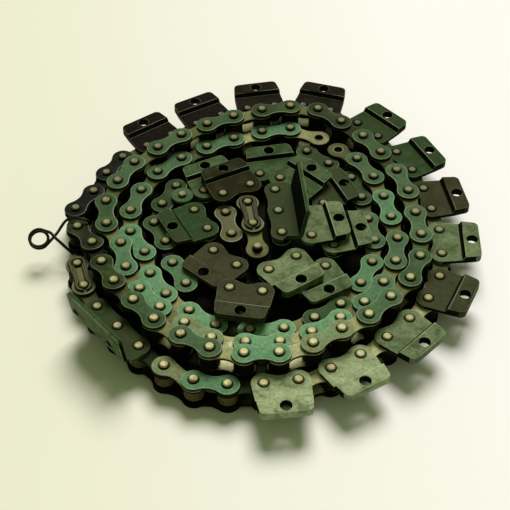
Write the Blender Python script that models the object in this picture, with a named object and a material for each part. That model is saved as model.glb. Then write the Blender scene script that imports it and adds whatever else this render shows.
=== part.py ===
"""Coiled roller chain with drilled lug plates, lying flat on its side.

The chain is wound into a flat spiral and tied with a loop of soft wire.
Frame: metres, +Z up, the floor at Z = 0, the origin under the middle of the coil.
+X is to the right and -Y is towards the viewer.
The chain lies with its pins upright, so each turn is described by the route
of its pin line seen from above and by the height of its pin ends.
"""
import math

import bmesh
import bpy
from mathutils import Matrix, Vector

MM = 0.001

# Driving sizes of the chain
PITCH = 19.05 * MM
PLATE_RADIUS = 6.5 * MM
PLATE_WAIST = 4.6 * MM
PLATE_THICKNESS = 1.85 * MM
CHAIN_HEIGHT = 16.2 * MM
PLATE_GAP = 0.3 * MM
PIN_RADIUS = 2.5 * MM
PIN_STICKOUT = 1.7 * MM
ROLLER_RADIUS = 4.6 * MM
CUT_GAP = 0.3 * MM

# Lug plate: a trapezoid that replaces the upper outer plate of every second link
LUG_THICKNESS = 2.5 * MM
LUG_INNER_EDGE = -6.2 * MM
LUG_BEND_START = 11.6 * MM
LUG_BEND_END = 13.8 * MM
LUG_OUTER_EDGE = 23.2 * MM
LUG_STEP = 2.6 * MM
LUG_WIDTH_AT_PINS = 33.0 * MM
LUG_WIDTH_AT_END = 29.0 * MM
LUG_CORNER = 3.5 * MM
LUG_HOLE_RADIUS = 3.4 * MM
LUG_HOLE_CENTRE = 18.5 * MM
PIN_CLEARANCE = 0.45 * MM

# Three-pin bracket: a long outer plate with one edge bent up and leaning out
BRACKET_INNER_EDGE = -6.5 * MM
BRACKET_THICKNESS = 2.5 * MM
CORNER_BRACKET = {"near_end": 3.5 * MM, "far_end": 6.0 * MM, "edge": 12.9 * MM,
                  "rise": 19.5 * MM, "lean": 2.5 * MM}
MIDDLE_BRACKET = {"near_end": 4.0 * MM, "far_end": 4.0 * MM, "edge": 12.7 * MM,
                  "rise": 21.4 * MM, "lean": 3.6 * MM}
BRACKET_HOLE_RADIUS = 2.8 * MM
BRACKET_HOLES = (8.8 * MM, 40.1 * MM)
BRACKET_HOLE_HEIGHT = 6.1 * MM

# Spring clip of a connecting link
CLIP_LOW = -1.4 * MM
CLIP_HIGH = -0.4 * MM

# Tie wire
WIRE_RADIUS = 0.9 * MM
WIRE_SIDES = 6

# Plain core under the middle of the coil
CORE_LOW = 0.0
CORE_TOP = 3.7 * MM
COLUMN_LOW = 4.0 * MM

# Number of flat sides given to the round pieces
PIN_SIDES = 6
ROLLER_SIDES = 6
HOLE_SIDES = 8

# Heights in the chain, measured down from its pin ends
OUTER_TOP = -PIN_STICKOUT
OUTER_LOW = OUTER_TOP - PLATE_THICKNESS
INNER_TOP = OUTER_LOW - PLATE_GAP
INNER_LOW = INNER_TOP - PLATE_THICKNESS
CHAIN_LOW = OUTER_TOP - CHAIN_HEIGHT
LOWER_INNER_LOW = CHAIN_LOW + PLATE_THICKNESS + PLATE_GAP
LOWER_INNER_TOP = LOWER_INNER_LOW + PLATE_THICKNESS

# Routes of the pin line in millimetres: x, y and height of the pin ends
OUTER_TURN = [
    (-104, -26.5, 17.9), (-98.5, -44.2, 17.9), (-89.3, -61, 17.9), (-76.7, -75.8, 17.9),
    (-64, -90.4, 17.9), (-49.3, -104, 17.9), (-33, -114, 17.9), (-14.8, -117.2, 17.9),
    (4.6, -116.8, 17.9), (23.3, -114.4, 17.9), (41, -106.4, 17.9), (57.6, -96.5, 17.9),
    (73, -83.9, 17.9), (86.6, -70, 17.9), (98.6, -54.5, 17.9), (106.8, -37.2, 17.9),
    (110, -18.4, 17.9), (110.5, 1.6, 17.9), (107.6, 20.2, 17.9), (104.5, 38.8, 17.9),
    (99, 56.4, 17.9), (90.6, 73.7, 17.9), (79.6, 89.6, 17.9), (67.3, 103.2, 17.9),
    (50, 116.5, 17.9), (32, 122, 17.9), (13, 122, 17.9), (-5, 118.5, 17.9),
    (-22.5, 112, 17.9), (-38.5, 102.5, 17.9), (-54.5, 91.5, 17.9), (-69.5, 80.5, 17.9),
    (-84.4, 69.6, 17.9), (-93.5, 54.3, 17.9), (-100, 37, 17.9), (-109.5, 20.8, 18.4),
    (-106.5, 2.6, 20.3), (-95.9, -14.3, 23.7)]
UPPER_TURN = [
    (-88.5, -33, 26.5), (-80, -49.8, 28), (-68, -64.7, 28), (-55.7, -79, 28),
    (-40.5, -90.3, 28), (-24.5, -99.8, 28), (-6, -103.8, 28), (13, -103.4, 28),
    (31.4, -96.6, 28), (47.4, -86.2, 28), (62.9, -75.8, 28), (76.1, -61.8, 27.5),
    (88.3, -46.6, 27), (95.6, -28.6, 26.5), (98, -9.8, 26), (96.3, 9, 26),
    (93.6, 28.6, 26), (88, 47.4, 26), (79.3, 64.7, 26.3), (69, 80, 26.8),
    (55.7, 94.2, 27.2), (41, 106, 28), (23, 107.8, 29), (4.5, 103, 29.8),
    (-13.8, 97, 29.4), (-30.8, 89.6, 28.8), (-46.9, 79.3, 28.4), (-61.4, 67.3, 28),
    (-75.3, 53.8, 27.2), (-84.5, 37.2, 26.5), (-90.3, 19.5, 25.7), (-88.5, 0.6, 25)]
THIRD_TURN = [
    (-78.8, -15.6, 24.5), (-74.5, -34.6, 23.8), (-65.6, -51.4, 23.3), (-53.4, -65.4, 22.8),
    (-39.2, -76.9, 22.5), (-24, -87.8, 22.3), (-5.3, -91, 22.3), (13.6, -90.6, 22.3),
    (31.2, -83.5, 22.3), (47.6, -73, 22.3), (61.6, -61.1, 22.3), (73.5, -45.6, 22.3),
    (81.8, -28.4, 22.3), (84.3, -9.4, 22.3), (81.9, 9.2, 22.3), (78.7, 27.5, 22.3),
    (73.8, 45.9, 22.3), (64.4, 62.7, 22.3), (53.2, 74.2, 22.3)]
INNER_TURN = [
    (41.3, 86.2, 22.3), (22.9, 93.2, 22.3), (4.5, 90, 22.2), (-13.6, 83.3, 22),
    (-30.8, 75.3, 21.8), (-46.5, 64.2, 21.8), (-60.9, 51, 21.8), (-70.1, 34.3, 21.4),
    (-75.6, 16.6, 20.6), (-74.5, -1.4, 20), (-65, -18, 19.4), (-60.8, -35.4, 19),
    (-50.9, -51.3, 18.6), (-37.2, -63.7, 18.2), (-22, -74.6, 18), (-3, -78, 17.9),
    (16, -76.9, 17.9), (33.4, -69.1, 17.9), (48.6, -58.7, 17.9), (60.9, -42, 17.9),
    (68.6, -25, 17.9), (71.2, -6.7, 17.9), (68.4, 11.8, 17.9), (65.7, 31.3, 17.9),
    (60.3, 49.4, 17.9), (46.6, 63, 17.9), (33.2, 75, 17.9)]
MIDDLE_TURN = [
    (-39.8, -42.2, 17.9), (-48.3, -25.7, 17.9), (-53.2, -7.7, 17.9), (-61, 8.5, 17.9),
    (-57, 25.3, 17.9), (-49.1, 41.8, 17.9)]

# Lug links in the middle: two pins in millimetres, side of the strip, on columns or not
MIDDLE_LUGS = {
    "middle_lug_01": ((2.9, 52.3, 18.2), (21.6, 55.9, 18.2), 1, True),
    "middle_lug_02": ((-19.7, 29.6, 22.2), (-3, 38.1, 22.2), 1, False),
    "middle_lug_03": ((-31.6, 36.9, 18.2), (-14.6, 45.5, 18.2), 1, True),
    "middle_lug_04": ((-28.6, 1.4, 19.4), (-37, 17.7, 19.4), 1, True),
    "middle_lug_05": ((-24.6, -16.2, 18.2), (-10.7, -28.4, 18.2), -1, True),
    "middle_lug_06": ((7.9, -35.6, 21.8), (24, -24.6, 21.8), -1, True),
    "middle_lug_07": ((24.7, -38.5, 17.9), (41.1, -28.8, 17.9), -1, True),
    "middle_lug_08": ((-14.5, -51.5, 23.6), (4.2, -54.6, 23.6), -1, True),
    "middle_lug_09": ((15.5, 43, 23.1), (29, 29.9, 23.1), 1, False),
    "middle_lug_10": ((34.4, 41.4, 19.2), (41.9, 24.1, 19.2), 1, True),
    "middle_lug_11": ((30.1, 10.3, 23.1), (33.4, -8.2, 23.1), 1, False),
    "middle_lug_12": ((43.4, 6.5, 19.2), (46.6, -12.2, 19.2), 1, True)}
THIN_STRIPS = ("middle_lug_03", "middle_lug_04", "middle_lug_05", "middle_lug_07",
               "middle_lug_09", "middle_lug_10", "middle_lug_12")
MIDDLE_BRACKET_PINS = [(15.8, -8.8, 26), (13.9, 10, 26), (12.2, 28.8, 26)]
CLIP_LINK_PINS = [(-4.5, 22.2, 22), (-1.3, 3.4, 22), (1.4, -15.3, 21)]
PLAIN_LINK_PINS = [(-17.9, 17.2, 18.2), (-14.1, -1.4, 18.2)]
LOOSE_END_PIN = (-44.7, 30.3, 21)

# Tie wire in millimetres: the leg over the chain, the round eye, the leg into the gap
WIRE_OVER = [
    (-99, 6.6, 17.5), (-100.4, 5.6, 20.6), (-103.6, 6.1, 21.4), (-108.2, 8.4, 20.6),
    (-111.9, 9, 19.2), (-114.7, 7.9, 17.6), (-116.8, 4.8, 16.2), (-118.9, 0.5, 15.2)]
WIRE_INTO = [
    (-121.8, -3.8, 19.6), (-119.2, -6.5, 18.6), (-116.8, -8.3, 17.4), (-114.7, -9.6, 16),
    (-112.4, -10.7, 14), (-110.3, -11, 11.5), (-108.7, -11, 9)]
EYE_CENTRE = (-128.8, -5.9, 16.6)
EYE_RADIUS = 5.5
EYE_TILT = 72.0
EYE_START = -25.0
EYE_SWEEP = -640.0
EYE_RISE = 2.1
EYE_STEPS = 18

CORE_OUTLINE = [
    (-96.3, 29), (-100.3, 22), (-101.3, 17), (-99.2, 10.5), (-90, 2), (-88, -10), (-94, -34),
    (-85, -51), (-72, -69), (-58, -83), (-43, -95), (-26, -103.5), (-7, -108), (14, -107.5),
    (33, -100.5), (51, -90), (66.5, -78), (80.5, -64), (93, -48), (100, -29.5), (102, -9.5),
    (101.5, 10), (98, 30), (92.5, 49), (83, 67), (71.5, 84), (58, 98.5), (42, 109.5), (23, 112),
    (3, 107.5), (-16, 101), (-33.5, 93), (-50, 82.5), (-65, 70.5), (-79.5, 56), (-89.5, 39)]

# Pin numbers along the chain
FIRST_LUG = 8
LAST_LUG = 30
BRACKET_LINK = 2
OFFSET_LINK = 5
FULL_HEIGHT_PINS = len(OUTER_TURN)
MAIN_CUTS = (7, 13, 19, 25, 31, 37, 43, 49, 55, 61, 69, 75, 81)
INNER_CUTS = (6, 12, 20)


def clear_scene():
    for obj in list(bpy.data.objects):
        bpy.data.objects.remove(obj, do_unlink=True)


def make_material(name, colour, roughness, metallic):
    material = bpy.data.materials.new(name)
    material.use_nodes = True
    shader = material.node_tree.nodes["Principled BSDF"]
    shader.inputs["Base Color"].default_value = (*colour, 1.0)
    shader.inputs["Roughness"].default_value = roughness
    shader.inputs["Metallic"].default_value = metallic
    return material


def route_points(route):
    return [Vector(point) * MM for point in route]


def object_from_bmesh(name, mesh_data):
    mesh = bpy.data.meshes.new(name)
    bmesh.ops.recalc_face_normals(mesh_data, faces=mesh_data.faces)
    mesh_data.to_mesh(mesh)
    mesh_data.free()
    obj = bpy.data.objects.new(name, mesh)
    bpy.context.scene.collection.objects.link(obj)
    return obj


def prism(name, outline, low, high, placement):
    """A closed upright prism on a flat outline, set by a placement matrix."""
    data = bmesh.new()
    bottom = [data.verts.new(placement @ Vector((x, y, low))) for x, y in outline]
    top = [data.verts.new(placement @ Vector((x, y, high))) for x, y in outline]
    data.faces.new(reversed(bottom))
    data.faces.new(top)
    count = len(outline)
    for i in range(count):
        j = (i + 1) % count
        data.faces.new((bottom[i], bottom[j], top[j], top[i]))
    return object_from_bmesh(name, data)


def circle(radius, sides, centre=(0.0, 0.0), turn=0.5):
    step = 2 * math.pi / sides
    reach = radius / math.cos(step / 2)
    return [(centre[0] + reach * math.cos(step * (i + turn)),
             centre[1] + reach * math.sin(step * (i + turn))) for i in range(sides)]


def lobe(centre_x, start_degrees):
    """Corner points of one rounded plate end, counter-clockwise."""
    reach = PLATE_RADIUS / math.cos(math.radians(22.5))
    points = []
    for i in range(4):
        angle = math.radians(start_degrees + 45 * i)
        points.append((centre_x + reach * math.cos(angle), reach * math.sin(angle)))
    return points


def plate_outline(length, waisted):
    left = lobe(0.0, 112.5)
    right = lobe(length, -67.5)
    if not waisted:
        return right + left
    half = length / 2
    return right + [(half, PLATE_WAIST)] + left + [(half, -PLATE_WAIST)]


def half_plate_outline(length):
    """The half of an inner plate round its first pin, cut across the middle."""
    end = length / 2 - CUT_GAP / 2
    return lobe(0.0, 112.5) + [(end, -PLATE_RADIUS), (end, PLATE_RADIUS)]


def link_frame(start, end):
    """Placement with X along the link and Z square to its plates."""
    along = (end - start).normalized()
    across = Vector((0, 0, 1)).cross(along).normalized()
    up = along.cross(across)
    frame = Matrix((along, across, up)).transposed().to_4x4()
    frame.translation = start
    return frame


def keep_out_of_sight(pieces, group_name):
    """Put Boolean operands in a hidden collection of their own."""
    group = bpy.data.collections.new(group_name)
    bpy.context.scene.collection.children.link(group)
    for i, piece in enumerate(pieces):
        piece.name = "{}_{}".format(group_name, i)
        bpy.context.scene.collection.objects.unlink(piece)
        group.objects.link(piece)
        piece.hide_render = True
        piece.display_type = "WIRE"
    return group


def combine(obj, pieces, operation):
    step = obj.modifiers.new(operation.lower(), "BOOLEAN")
    step.operation = operation
    step.operand_type = "COLLECTION"
    step.collection = keep_out_of_sight(pieces, "{}_{}".format(obj.name, operation.lower()))
    step.solver = "EXACT"


def fuse(name, pieces, material):
    """Join overlapping solids into one closed body with a Boolean union."""
    base = pieces[0]
    base.name = name
    base.data.materials.append(material)
    if len(pieces) > 1:
        combine(base, pieces[1:], "UNION")
    return base


def pin_at(point, heading):
    place = Matrix.Translation(point) @ Matrix.Rotation(heading, 4, "Z")
    outline = circle(PIN_RADIUS, PIN_SIDES, turn=0.0)
    return prism("pin", outline, INNER_LOW + PLATE_THICKNESS / 4, 0.0, place)


def roller_at(point, heading, full_height):
    """A roller; where the lower plates are left out it runs down to the core."""
    place = Matrix.Translation(point) @ Matrix.Rotation(heading, 4, "Z")
    top = INNER_LOW + PLATE_THICKNESS / 2
    low = LOWER_INNER_TOP - PLATE_THICKNESS / 2 if full_height else COLUMN_LOW - point.z
    return prism("roller", circle(ROLLER_RADIUS, ROLLER_SIDES), low, top, place)


def pin_foot_at(point, heading):
    place = Matrix.Translation(point) @ Matrix.Rotation(heading, 4, "Z")
    low = CHAIN_LOW + PLATE_THICKNESS / 2
    high = LOWER_INNER_TOP - PLATE_THICKNESS / 4
    return prism("pin_foot", circle(PIN_RADIUS, 4), low, high, place)


def offset_plate(start, end):
    """Cranked plate: outer level at the start pin, inner level at the end pin."""
    frame = link_frame(start, end)
    length = (end - start).length
    stations = ((-7.0 * MM, 3.0 * MM, 0), (-3.0 * MM, PLATE_RADIUS, 0), (6.0 * MM, PLATE_RADIUS, 0),
                (length - 8.0 * MM, PLATE_RADIUS, 1), (length + 3.0 * MM, PLATE_RADIUS, 1),
                (length + 7.0 * MM, 3.0 * MM, 1))
    data = bmesh.new()
    rings = []
    for x, half_width, level in stations:
        low = INNER_LOW if level else OUTER_LOW
        high = low + PLATE_THICKNESS
        corners = ((x, -half_width, low), (x, half_width, low),
                   (x, half_width, high), (x, -half_width, high))
        rings.append([data.verts.new(frame @ Vector(corner)) for corner in corners])
    for ring, following in zip(rings, rings[1:]):
        for i in range(4):
            j = (i + 1) % 4
            data.faces.new((ring[i], ring[j], following[j], following[i]))
    data.faces.new(rings[0])
    data.faces.new(reversed(rings[-1]))
    return object_from_bmesh("plate_offset", data)


def upper_plate(start, end, outer):
    outline = plate_outline((end - start).length, outer)
    low, high = (OUTER_LOW, OUTER_TOP) if outer else (INNER_LOW, INNER_TOP)
    return prism("plate_upper", outline, low, high, link_frame(start, end))


def lower_plate(start, end, outer):
    outline = plate_outline((end - start).length, outer)
    if outer:
        low, high = CHAIN_LOW, CHAIN_LOW + PLATE_THICKNESS
    else:
        low, high = LOWER_INNER_LOW, LOWER_INNER_TOP
    return prism("plate_lower", outline, low, high, link_frame(start, end))


def half_plates(pin, neighbour, full_height):
    """The near halves of the inner plates between two stretches of chain."""
    frame = link_frame(pin, neighbour)
    outline = half_plate_outline((neighbour - pin).length)
    made = [prism("plate_half", outline, INNER_LOW, INNER_TOP, frame)]
    if full_height:
        made.append(prism("plate_half", outline, LOWER_INNER_LOW, LOWER_INNER_TOP, frame))
    return made


def chain_stretch(name, pins, first, last, material, is_outer, bare=(), full_height_pins=0):
    """One stretch of chain from pin number first to pin number last.

    is_outer tells whether the link after a pin has outer plates, and bare
    lists the links whose upper plate is a part of its own.
    """
    pieces = []
    for i in range(first, last):
        outer = is_outer(i)
        if i == OFFSET_LINK and i < full_height_pins:
            pieces.append(offset_plate(pins[i], pins[i + 1]))
        elif i not in bare:
            pieces.append(upper_plate(pins[i], pins[i + 1], outer))
        if i < full_height_pins:
            pieces.append(lower_plate(pins[i], pins[i + 1], outer))
    if first > 0:
        pieces += half_plates(pins[first], pins[first - 1], first < full_height_pins)
    if last < len(pins) - 1:
        pieces += half_plates(pins[last], pins[last + 1], last < full_height_pins)
    for i in range(first, last + 1):
        ahead = pins[min(i + 1, len(pins) - 1)]
        behind = pins[max(i - 1, 0)]
        heading = math.atan2(ahead.y - behind.y, ahead.x - behind.x)
        full_height = i < full_height_pins
        pieces.append(pin_at(pins[i], heading))
        pieces.append(roller_at(pins[i], heading, full_height))
        if full_height:
            pieces.append(pin_foot_at(pins[i], heading))
    return fuse(name, pieces, material)


def chain_run(name, pins, cuts, material, is_outer, bare=(), full_height_pins=0):
    """A run of chain built as stretches that meet halfway along an inner link."""
    first = 0
    for number, last in enumerate(tuple(cuts) + (len(pins) - 1,)):
        chain_stretch("{}_{:02d}".format(name, number + 1), pins, first, last, material,
                      is_outer, bare, full_height_pins)
        first = last + 1


def lug_outline():
    """Plan of the flat lug blank: pin edge at -Y, outer edge at +Y."""
    middle = PITCH / 2
    wide = LUG_WIDTH_AT_PINS / 2
    narrow = LUG_WIDTH_AT_END / 2
    slope = (wide - narrow) / LUG_OUTER_EDGE

    def half_width(y):
        return wide - slope * max(y, 0.0)

    right = [
        (middle + wide - 5 * MM, LUG_INNER_EDGE),
        (middle + wide, -1.5 * MM),
        (middle + half_width(LUG_BEND_START), LUG_BEND_START),
        (middle + half_width(LUG_BEND_END), LUG_BEND_END),
        (middle + half_width(LUG_OUTER_EDGE), LUG_OUTER_EDGE - LUG_CORNER),
        (middle + half_width(LUG_OUTER_EDGE) - LUG_CORNER, LUG_OUTER_EDGE)]
    left = [(2 * middle - x, y) for x, y in reversed(right)]
    return right + left


def lug_blank(name, low, frame, thick_strip=True):
    """The lug plate without its holes; a thick strip is flush with the flat below."""
    outline = lug_outline()
    data = bmesh.new()

    def ring(base, step):
        made = []
        for x, y in outline:
            lift = step if y >= LUG_BEND_END - 0.01 * MM else 0.0
            made.append(data.verts.new(frame @ Vector((x, y, base + lift))))
        return made

    lower = ring(low, 0.0 if thick_strip else LUG_STEP)
    upper = ring(low + LUG_THICKNESS, LUG_STEP)
    count = len(lower)
    for i in range(count):
        j = (i + 1) % count
        data.faces.new((lower[i], lower[j], upper[j], upper[i]))
    # corners 0-2 and 9-11 bound the flat, 2-3 and 8-9 the bend, 3-8 the strip
    for part in ((0, 1, 2, 9, 10, 11), (2, 3, 8, 9), (3, 4, 5, 6, 7, 8)):
        data.faces.new([upper[i] for i in part])
        data.faces.new([lower[i] for i in reversed(part)])
    return object_from_bmesh(name, data)


def lug_frame(start, end, side):
    """Placement of a lug centred between its pins; side +1 is left of start to end."""
    frame = link_frame(start, end) if side > 0 else link_frame(end, start)
    frame.translation = (start + end) / 2
    return frame @ Matrix.Translation((-PITCH / 2, 0, 0))


def lug_hole_cutter(frame):
    outline = circle(LUG_HOLE_RADIUS, HOLE_SIDES, (PITCH / 2, LUG_HOLE_CENTRE))
    return prism("cutter", outline, OUTER_LOW - 2 * MM, OUTER_LOW + 9 * MM, frame)


def loose_lug(name, start, end, side, material):
    """A lug plate with clearance holes for the two pins of its link."""
    frame = lug_frame(start, end, side)
    plate = lug_blank(name, OUTER_LOW, frame)
    plate.data.materials.append(material)
    length = (end - start).length
    cutters = [lug_hole_cutter(frame)]
    for centre in ((PITCH - length) / 2, (PITCH + length) / 2):
        outline = circle(PIN_RADIUS + PIN_CLEARANCE, PIN_SIDES, (centre, 0), turn=0.0)
        cutters.append(prism("cutter", outline, OUTER_LOW - 2 * MM, OUTER_LOW + 9 * MM, frame))
    combine(plate, cutters, "DIFFERENCE")
    return plate


def standing_pins(points, columns):
    """Pins through an outer plate and, on columns, the rollers down to the core."""
    heading = math.atan2(points[-1].y - points[0].y, points[-1].x - points[0].x)
    pieces = []
    for point in points:
        place = Matrix.Translation(point) @ Matrix.Rotation(heading, 4, "Z")
        outline = circle(PIN_RADIUS, PIN_SIDES, turn=0.0)
        pieces.append(prism("pin", outline, OUTER_LOW + PLATE_THICKNESS / 4, 0.0, place))
        if columns:
            outline = circle(ROLLER_RADIUS, ROLLER_SIDES)
            top = OUTER_LOW + PLATE_THICKNESS / 2
            pieces.append(prism("roller", outline, COLUMN_LOW - point.z, top, place))
    return pieces


def fixed_lug(name, start, end, side, columns, material):
    """A lug plate made in one body with the pins of its link."""
    frame = lug_frame(start, end, side)
    plate = lug_blank(name, OUTER_LOW, frame, name not in THIN_STRIPS)
    plate.data.materials.append(material)
    combine(plate, standing_pins((start, end), columns), "UNION")
    combine(plate, [lug_hole_cutter(frame)], "DIFFERENCE")
    return plate


def bracket_body(name, length, frame, near_end, far_end, edge, rise, lean):
    """The bent plate swept straight along its pin line."""
    low = OUTER_LOW
    high = low + BRACKET_THICKNESS
    top = low + rise
    profile = [(BRACKET_INNER_EDGE, low), (edge - 1.5 * MM, low), (edge, low + 1.5 * MM),
               (edge + lean, top), (edge + lean - BRACKET_THICKNESS, top),
               (edge - BRACKET_THICKNESS, high), (BRACKET_INNER_EDGE, high)]
    data = bmesh.new()
    rings = []
    for x in (-near_end, length + far_end):
        rings.append([data.verts.new(frame @ Vector((x, y, z))) for y, z in profile])
    count = len(profile)
    for i in range(count):
        j = (i + 1) % count
        data.faces.new((rings[0][i], rings[0][j], rings[1][j], rings[1][i]))
    data.faces.new(rings[0])
    data.faces.new(reversed(rings[1]))
    return object_from_bmesh(name, data)


def corner_bracket(name, pins, material):
    """Bracket on three pins of the outer turn, two holes in its standing leaf."""
    frame = link_frame(pins[2], pins[0])
    body = bracket_body(name, (pins[0] - pins[2]).length, frame, **CORNER_BRACKET)
    body.data.materials.append(material)
    cutters = []
    for pin in pins:
        local = frame.inverted() @ pin
        outline = circle(PIN_RADIUS + PIN_CLEARANCE, PIN_SIDES, (local.x, local.y), turn=0.0)
        cutters.append(prism("cutter", outline, OUTER_LOW - 1 * MM,
                             OUTER_LOW + BRACKET_THICKNESS + 1 * MM, frame))
    sideways = frame @ Matrix.Rotation(math.radians(-90), 4, "X")
    level = OUTER_LOW + BRACKET_HOLE_HEIGHT
    edge = CORNER_BRACKET["edge"]
    for x in BRACKET_HOLES:
        outline = circle(BRACKET_HOLE_RADIUS, HOLE_SIDES, (x, -level))
        cutters.append(prism("cutter", outline, edge - 4 * MM, edge + 4 * MM, sideways))
    combine(body, cutters, "DIFFERENCE")
    return body


def middle_bracket(name, pins, material):
    """Bracket in the middle of the coil, in one body with its pins and rollers."""
    frame = link_frame(pins[2], pins[0])
    body = bracket_body(name, (pins[0] - pins[2]).length, frame, **MIDDLE_BRACKET)
    body.data.materials.append(material)
    combine(body, standing_pins(pins, True), "UNION")
    return body


def spring_clip(name, start, end, material):
    """Open spring clip lying on a connecting plate round its two pins."""
    length = (end - start).length / MM
    outside = [(length + 4.4, 1.3), (length + 2.2, 4.4), (0, 5.0), (-4.2, 3.0), (-5.2, 0),
               (-4.2, -3.0), (0, -5.0), (length + 2.2, -4.4), (length + 4.4, -1.3)]
    inside = [(length + 3.6, -0.9), (length + 1.6, -3.3), (0, -3.6), (-2.9, -2.2), (-3.8, 0),
              (-2.9, 2.2), (0, 3.6), (length + 1.6, 3.3), (length + 3.6, 0.9)]
    outline = [(x * MM, y * MM) for x, y in outside + inside]
    clip = prism(name, outline, CLIP_LOW, CLIP_HIGH, link_frame(start, end))
    clip.data.materials.append(material)
    return clip


def wire_line():
    """Centre line of the tie wire: two turns of an eye between its two legs."""
    tilt = math.radians(EYE_TILT)
    axis = Vector((0, -math.cos(tilt), math.sin(tilt)))
    across = Vector((1, 0, 0))
    upward = axis.cross(across)
    eye = []
    for i in range(EYE_STEPS + 1):
        share = i / EYE_STEPS
        angle = math.radians(EYE_START + EYE_SWEEP * share)
        around = (across * math.cos(angle) + upward * math.sin(angle)) * EYE_RADIUS
        eye.append(Vector(EYE_CENTRE) + around + axis * EYE_RISE * (2 * share - 1))
    return WIRE_OVER + eye + WIRE_INTO


def tie_wire(name, line, material):
    """A bent round wire as one closed tube."""
    points = route_points(line)
    data = bmesh.new()
    rings = []
    side = None
    for i, point in enumerate(points):
        ahead = points[min(i + 1, len(points) - 1)]
        behind = points[max(i - 1, 0)]
        along = (ahead - behind).normalized()
        if side is None:
            side = along.orthogonal().normalized()
        side = (side - along * side.dot(along)).normalized()
        other = along.cross(side)
        ring = []
        for k in range(WIRE_SIDES):
            angle = 2 * math.pi * k / WIRE_SIDES
            offset = side * math.cos(angle) + other * math.sin(angle)
            ring.append(data.verts.new(point + offset * WIRE_RADIUS))
        rings.append(ring)
    for ring, following in zip(rings, rings[1:]):
        for i in range(WIRE_SIDES):
            j = (i + 1) % WIRE_SIDES
            data.faces.new((ring[i], ring[j], following[j], following[i]))
    data.faces.new(rings[0])
    data.faces.new(reversed(rings[-1]))
    wire = object_from_bmesh(name, data)
    wire.data.materials.append(material)
    for polygon in wire.data.polygons:
        polygon.use_smooth = True
    return wire


def build_main_run(plate_material, lug_material, dark_material, clip_material):
    pins = route_points(OUTER_TURN + UPPER_TURN + THIRD_TURN)
    lugs = list(range(FIRST_LUG, LAST_LUG + 1, 2))
    bare = lugs + [BRACKET_LINK, BRACKET_LINK + 1]

    def is_outer(i):
        if i in (BRACKET_LINK + 1, OFFSET_LINK):
            return True
        return i % 2 == 0 and i != OFFSET_LINK - 1

    chain_run("chain_run", pins, MAIN_CUTS, plate_material, is_outer, bare, FULL_HEIGHT_PINS)
    for number, i in enumerate(lugs):
        material = dark_material if number > 6 else lug_material
        loose_lug("lug_plate_{:02d}".format(number + 1), pins[i], pins[i + 1], -1, material)
    bracket_pins = pins[BRACKET_LINK:BRACKET_LINK + 3]
    corner_bracket("corner_bracket", bracket_pins, dark_material)
    spring_clip("spring_clip", pins[0], pins[1], clip_material)


def build_inner_run(plate_material):
    pins = route_points(INNER_TURN)
    chain_run("inner_run", pins, INNER_CUTS, plate_material, lambda i: i % 2 == 1)
    pins = route_points(MIDDLE_TURN)
    chain_run("middle_run", pins, (), plate_material, lambda i: i % 2 == 0)


def build_middle(plate_material, lug_material, dark_material, clip_material):
    for name, (start, end, side, columns) in MIDDLE_LUGS.items():
        fixed_lug(name, Vector(start) * MM, Vector(end) * MM, side, columns, lug_material)
    middle_bracket("middle_bracket", route_points(MIDDLE_BRACKET_PINS), dark_material)
    start, end, beyond = route_points(CLIP_LINK_PINS)
    heading = math.atan2(end.y - start.y, end.x - start.x)
    pieces = [upper_plate(start, end, True), upper_plate(end, beyond, False)]
    for point in (start, end, beyond):
        pieces.append(pin_at(point, heading))
        pieces.append(roller_at(point, heading, False))
    fuse("middle_clip_link", pieces, plate_material)
    spring_clip("middle_clip", start, end, clip_material)
    start, end = route_points(PLAIN_LINK_PINS)
    pieces = [upper_plate(start, end, True)] + standing_pins((start, end), True)
    fuse("middle_plain_link", pieces, plate_material)
    point = Vector(LOOSE_END_PIN) * MM
    place = Matrix.Translation(point)
    pieces = [prism("plate", circle(PLATE_RADIUS, 8), OUTER_LOW, OUTER_TOP, place)]
    pieces += standing_pins((point,), False)
    fuse("middle_loose_end", pieces, plate_material)


def build_core(material):
    outline = [(x * MM, y * MM) for x, y in CORE_OUTLINE]
    core = prism("plain_core", outline, CORE_LOW, CORE_TOP, Matrix.Identity(4))
    core.data.materials.append(material)
    return core


clear_scene()

verdigris = make_material("verdigris_plate", (0.10, 0.17, 0.12), 0.45, 0.8)
dark_steel = make_material("dark_steel", (0.05, 0.045, 0.03), 0.5, 0.8)
grey_lug = make_material("grey_lug_plate", (0.16, 0.19, 0.11), 0.45, 0.8)
clip_steel = make_material("clip_steel", (0.12, 0.12, 0.10), 0.4, 0.9)
wire_steel = make_material("wire_steel", (0.20, 0.20, 0.16), 0.4, 0.9)
core_steel = make_material("core_steel", (0.03, 0.03, 0.025), 0.7, 0.6)

build_main_run(verdigris, grey_lug, dark_steel, clip_steel)
build_inner_run(verdigris)
build_middle(verdigris, grey_lug, dark_steel, clip_steel)
build_core(core_steel)
tie_wire("tie_wire", wire_line(), wire_steel)
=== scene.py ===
"""Looks of the coiled roller chain with drilled lug plates.

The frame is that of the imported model: +X right, -Y towards the viewer, +Z up and
the floor at Z = 0. Sizes and routes are in millimetres, and MM turns them into
metres when a piece is built. The floor, the light and the camera are in metres.
"""

import math
from dataclasses import dataclass

import bmesh
import bpy
from mathutils import Matrix, Vector
from mathutils.geometry import tessellate_polygon


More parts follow.
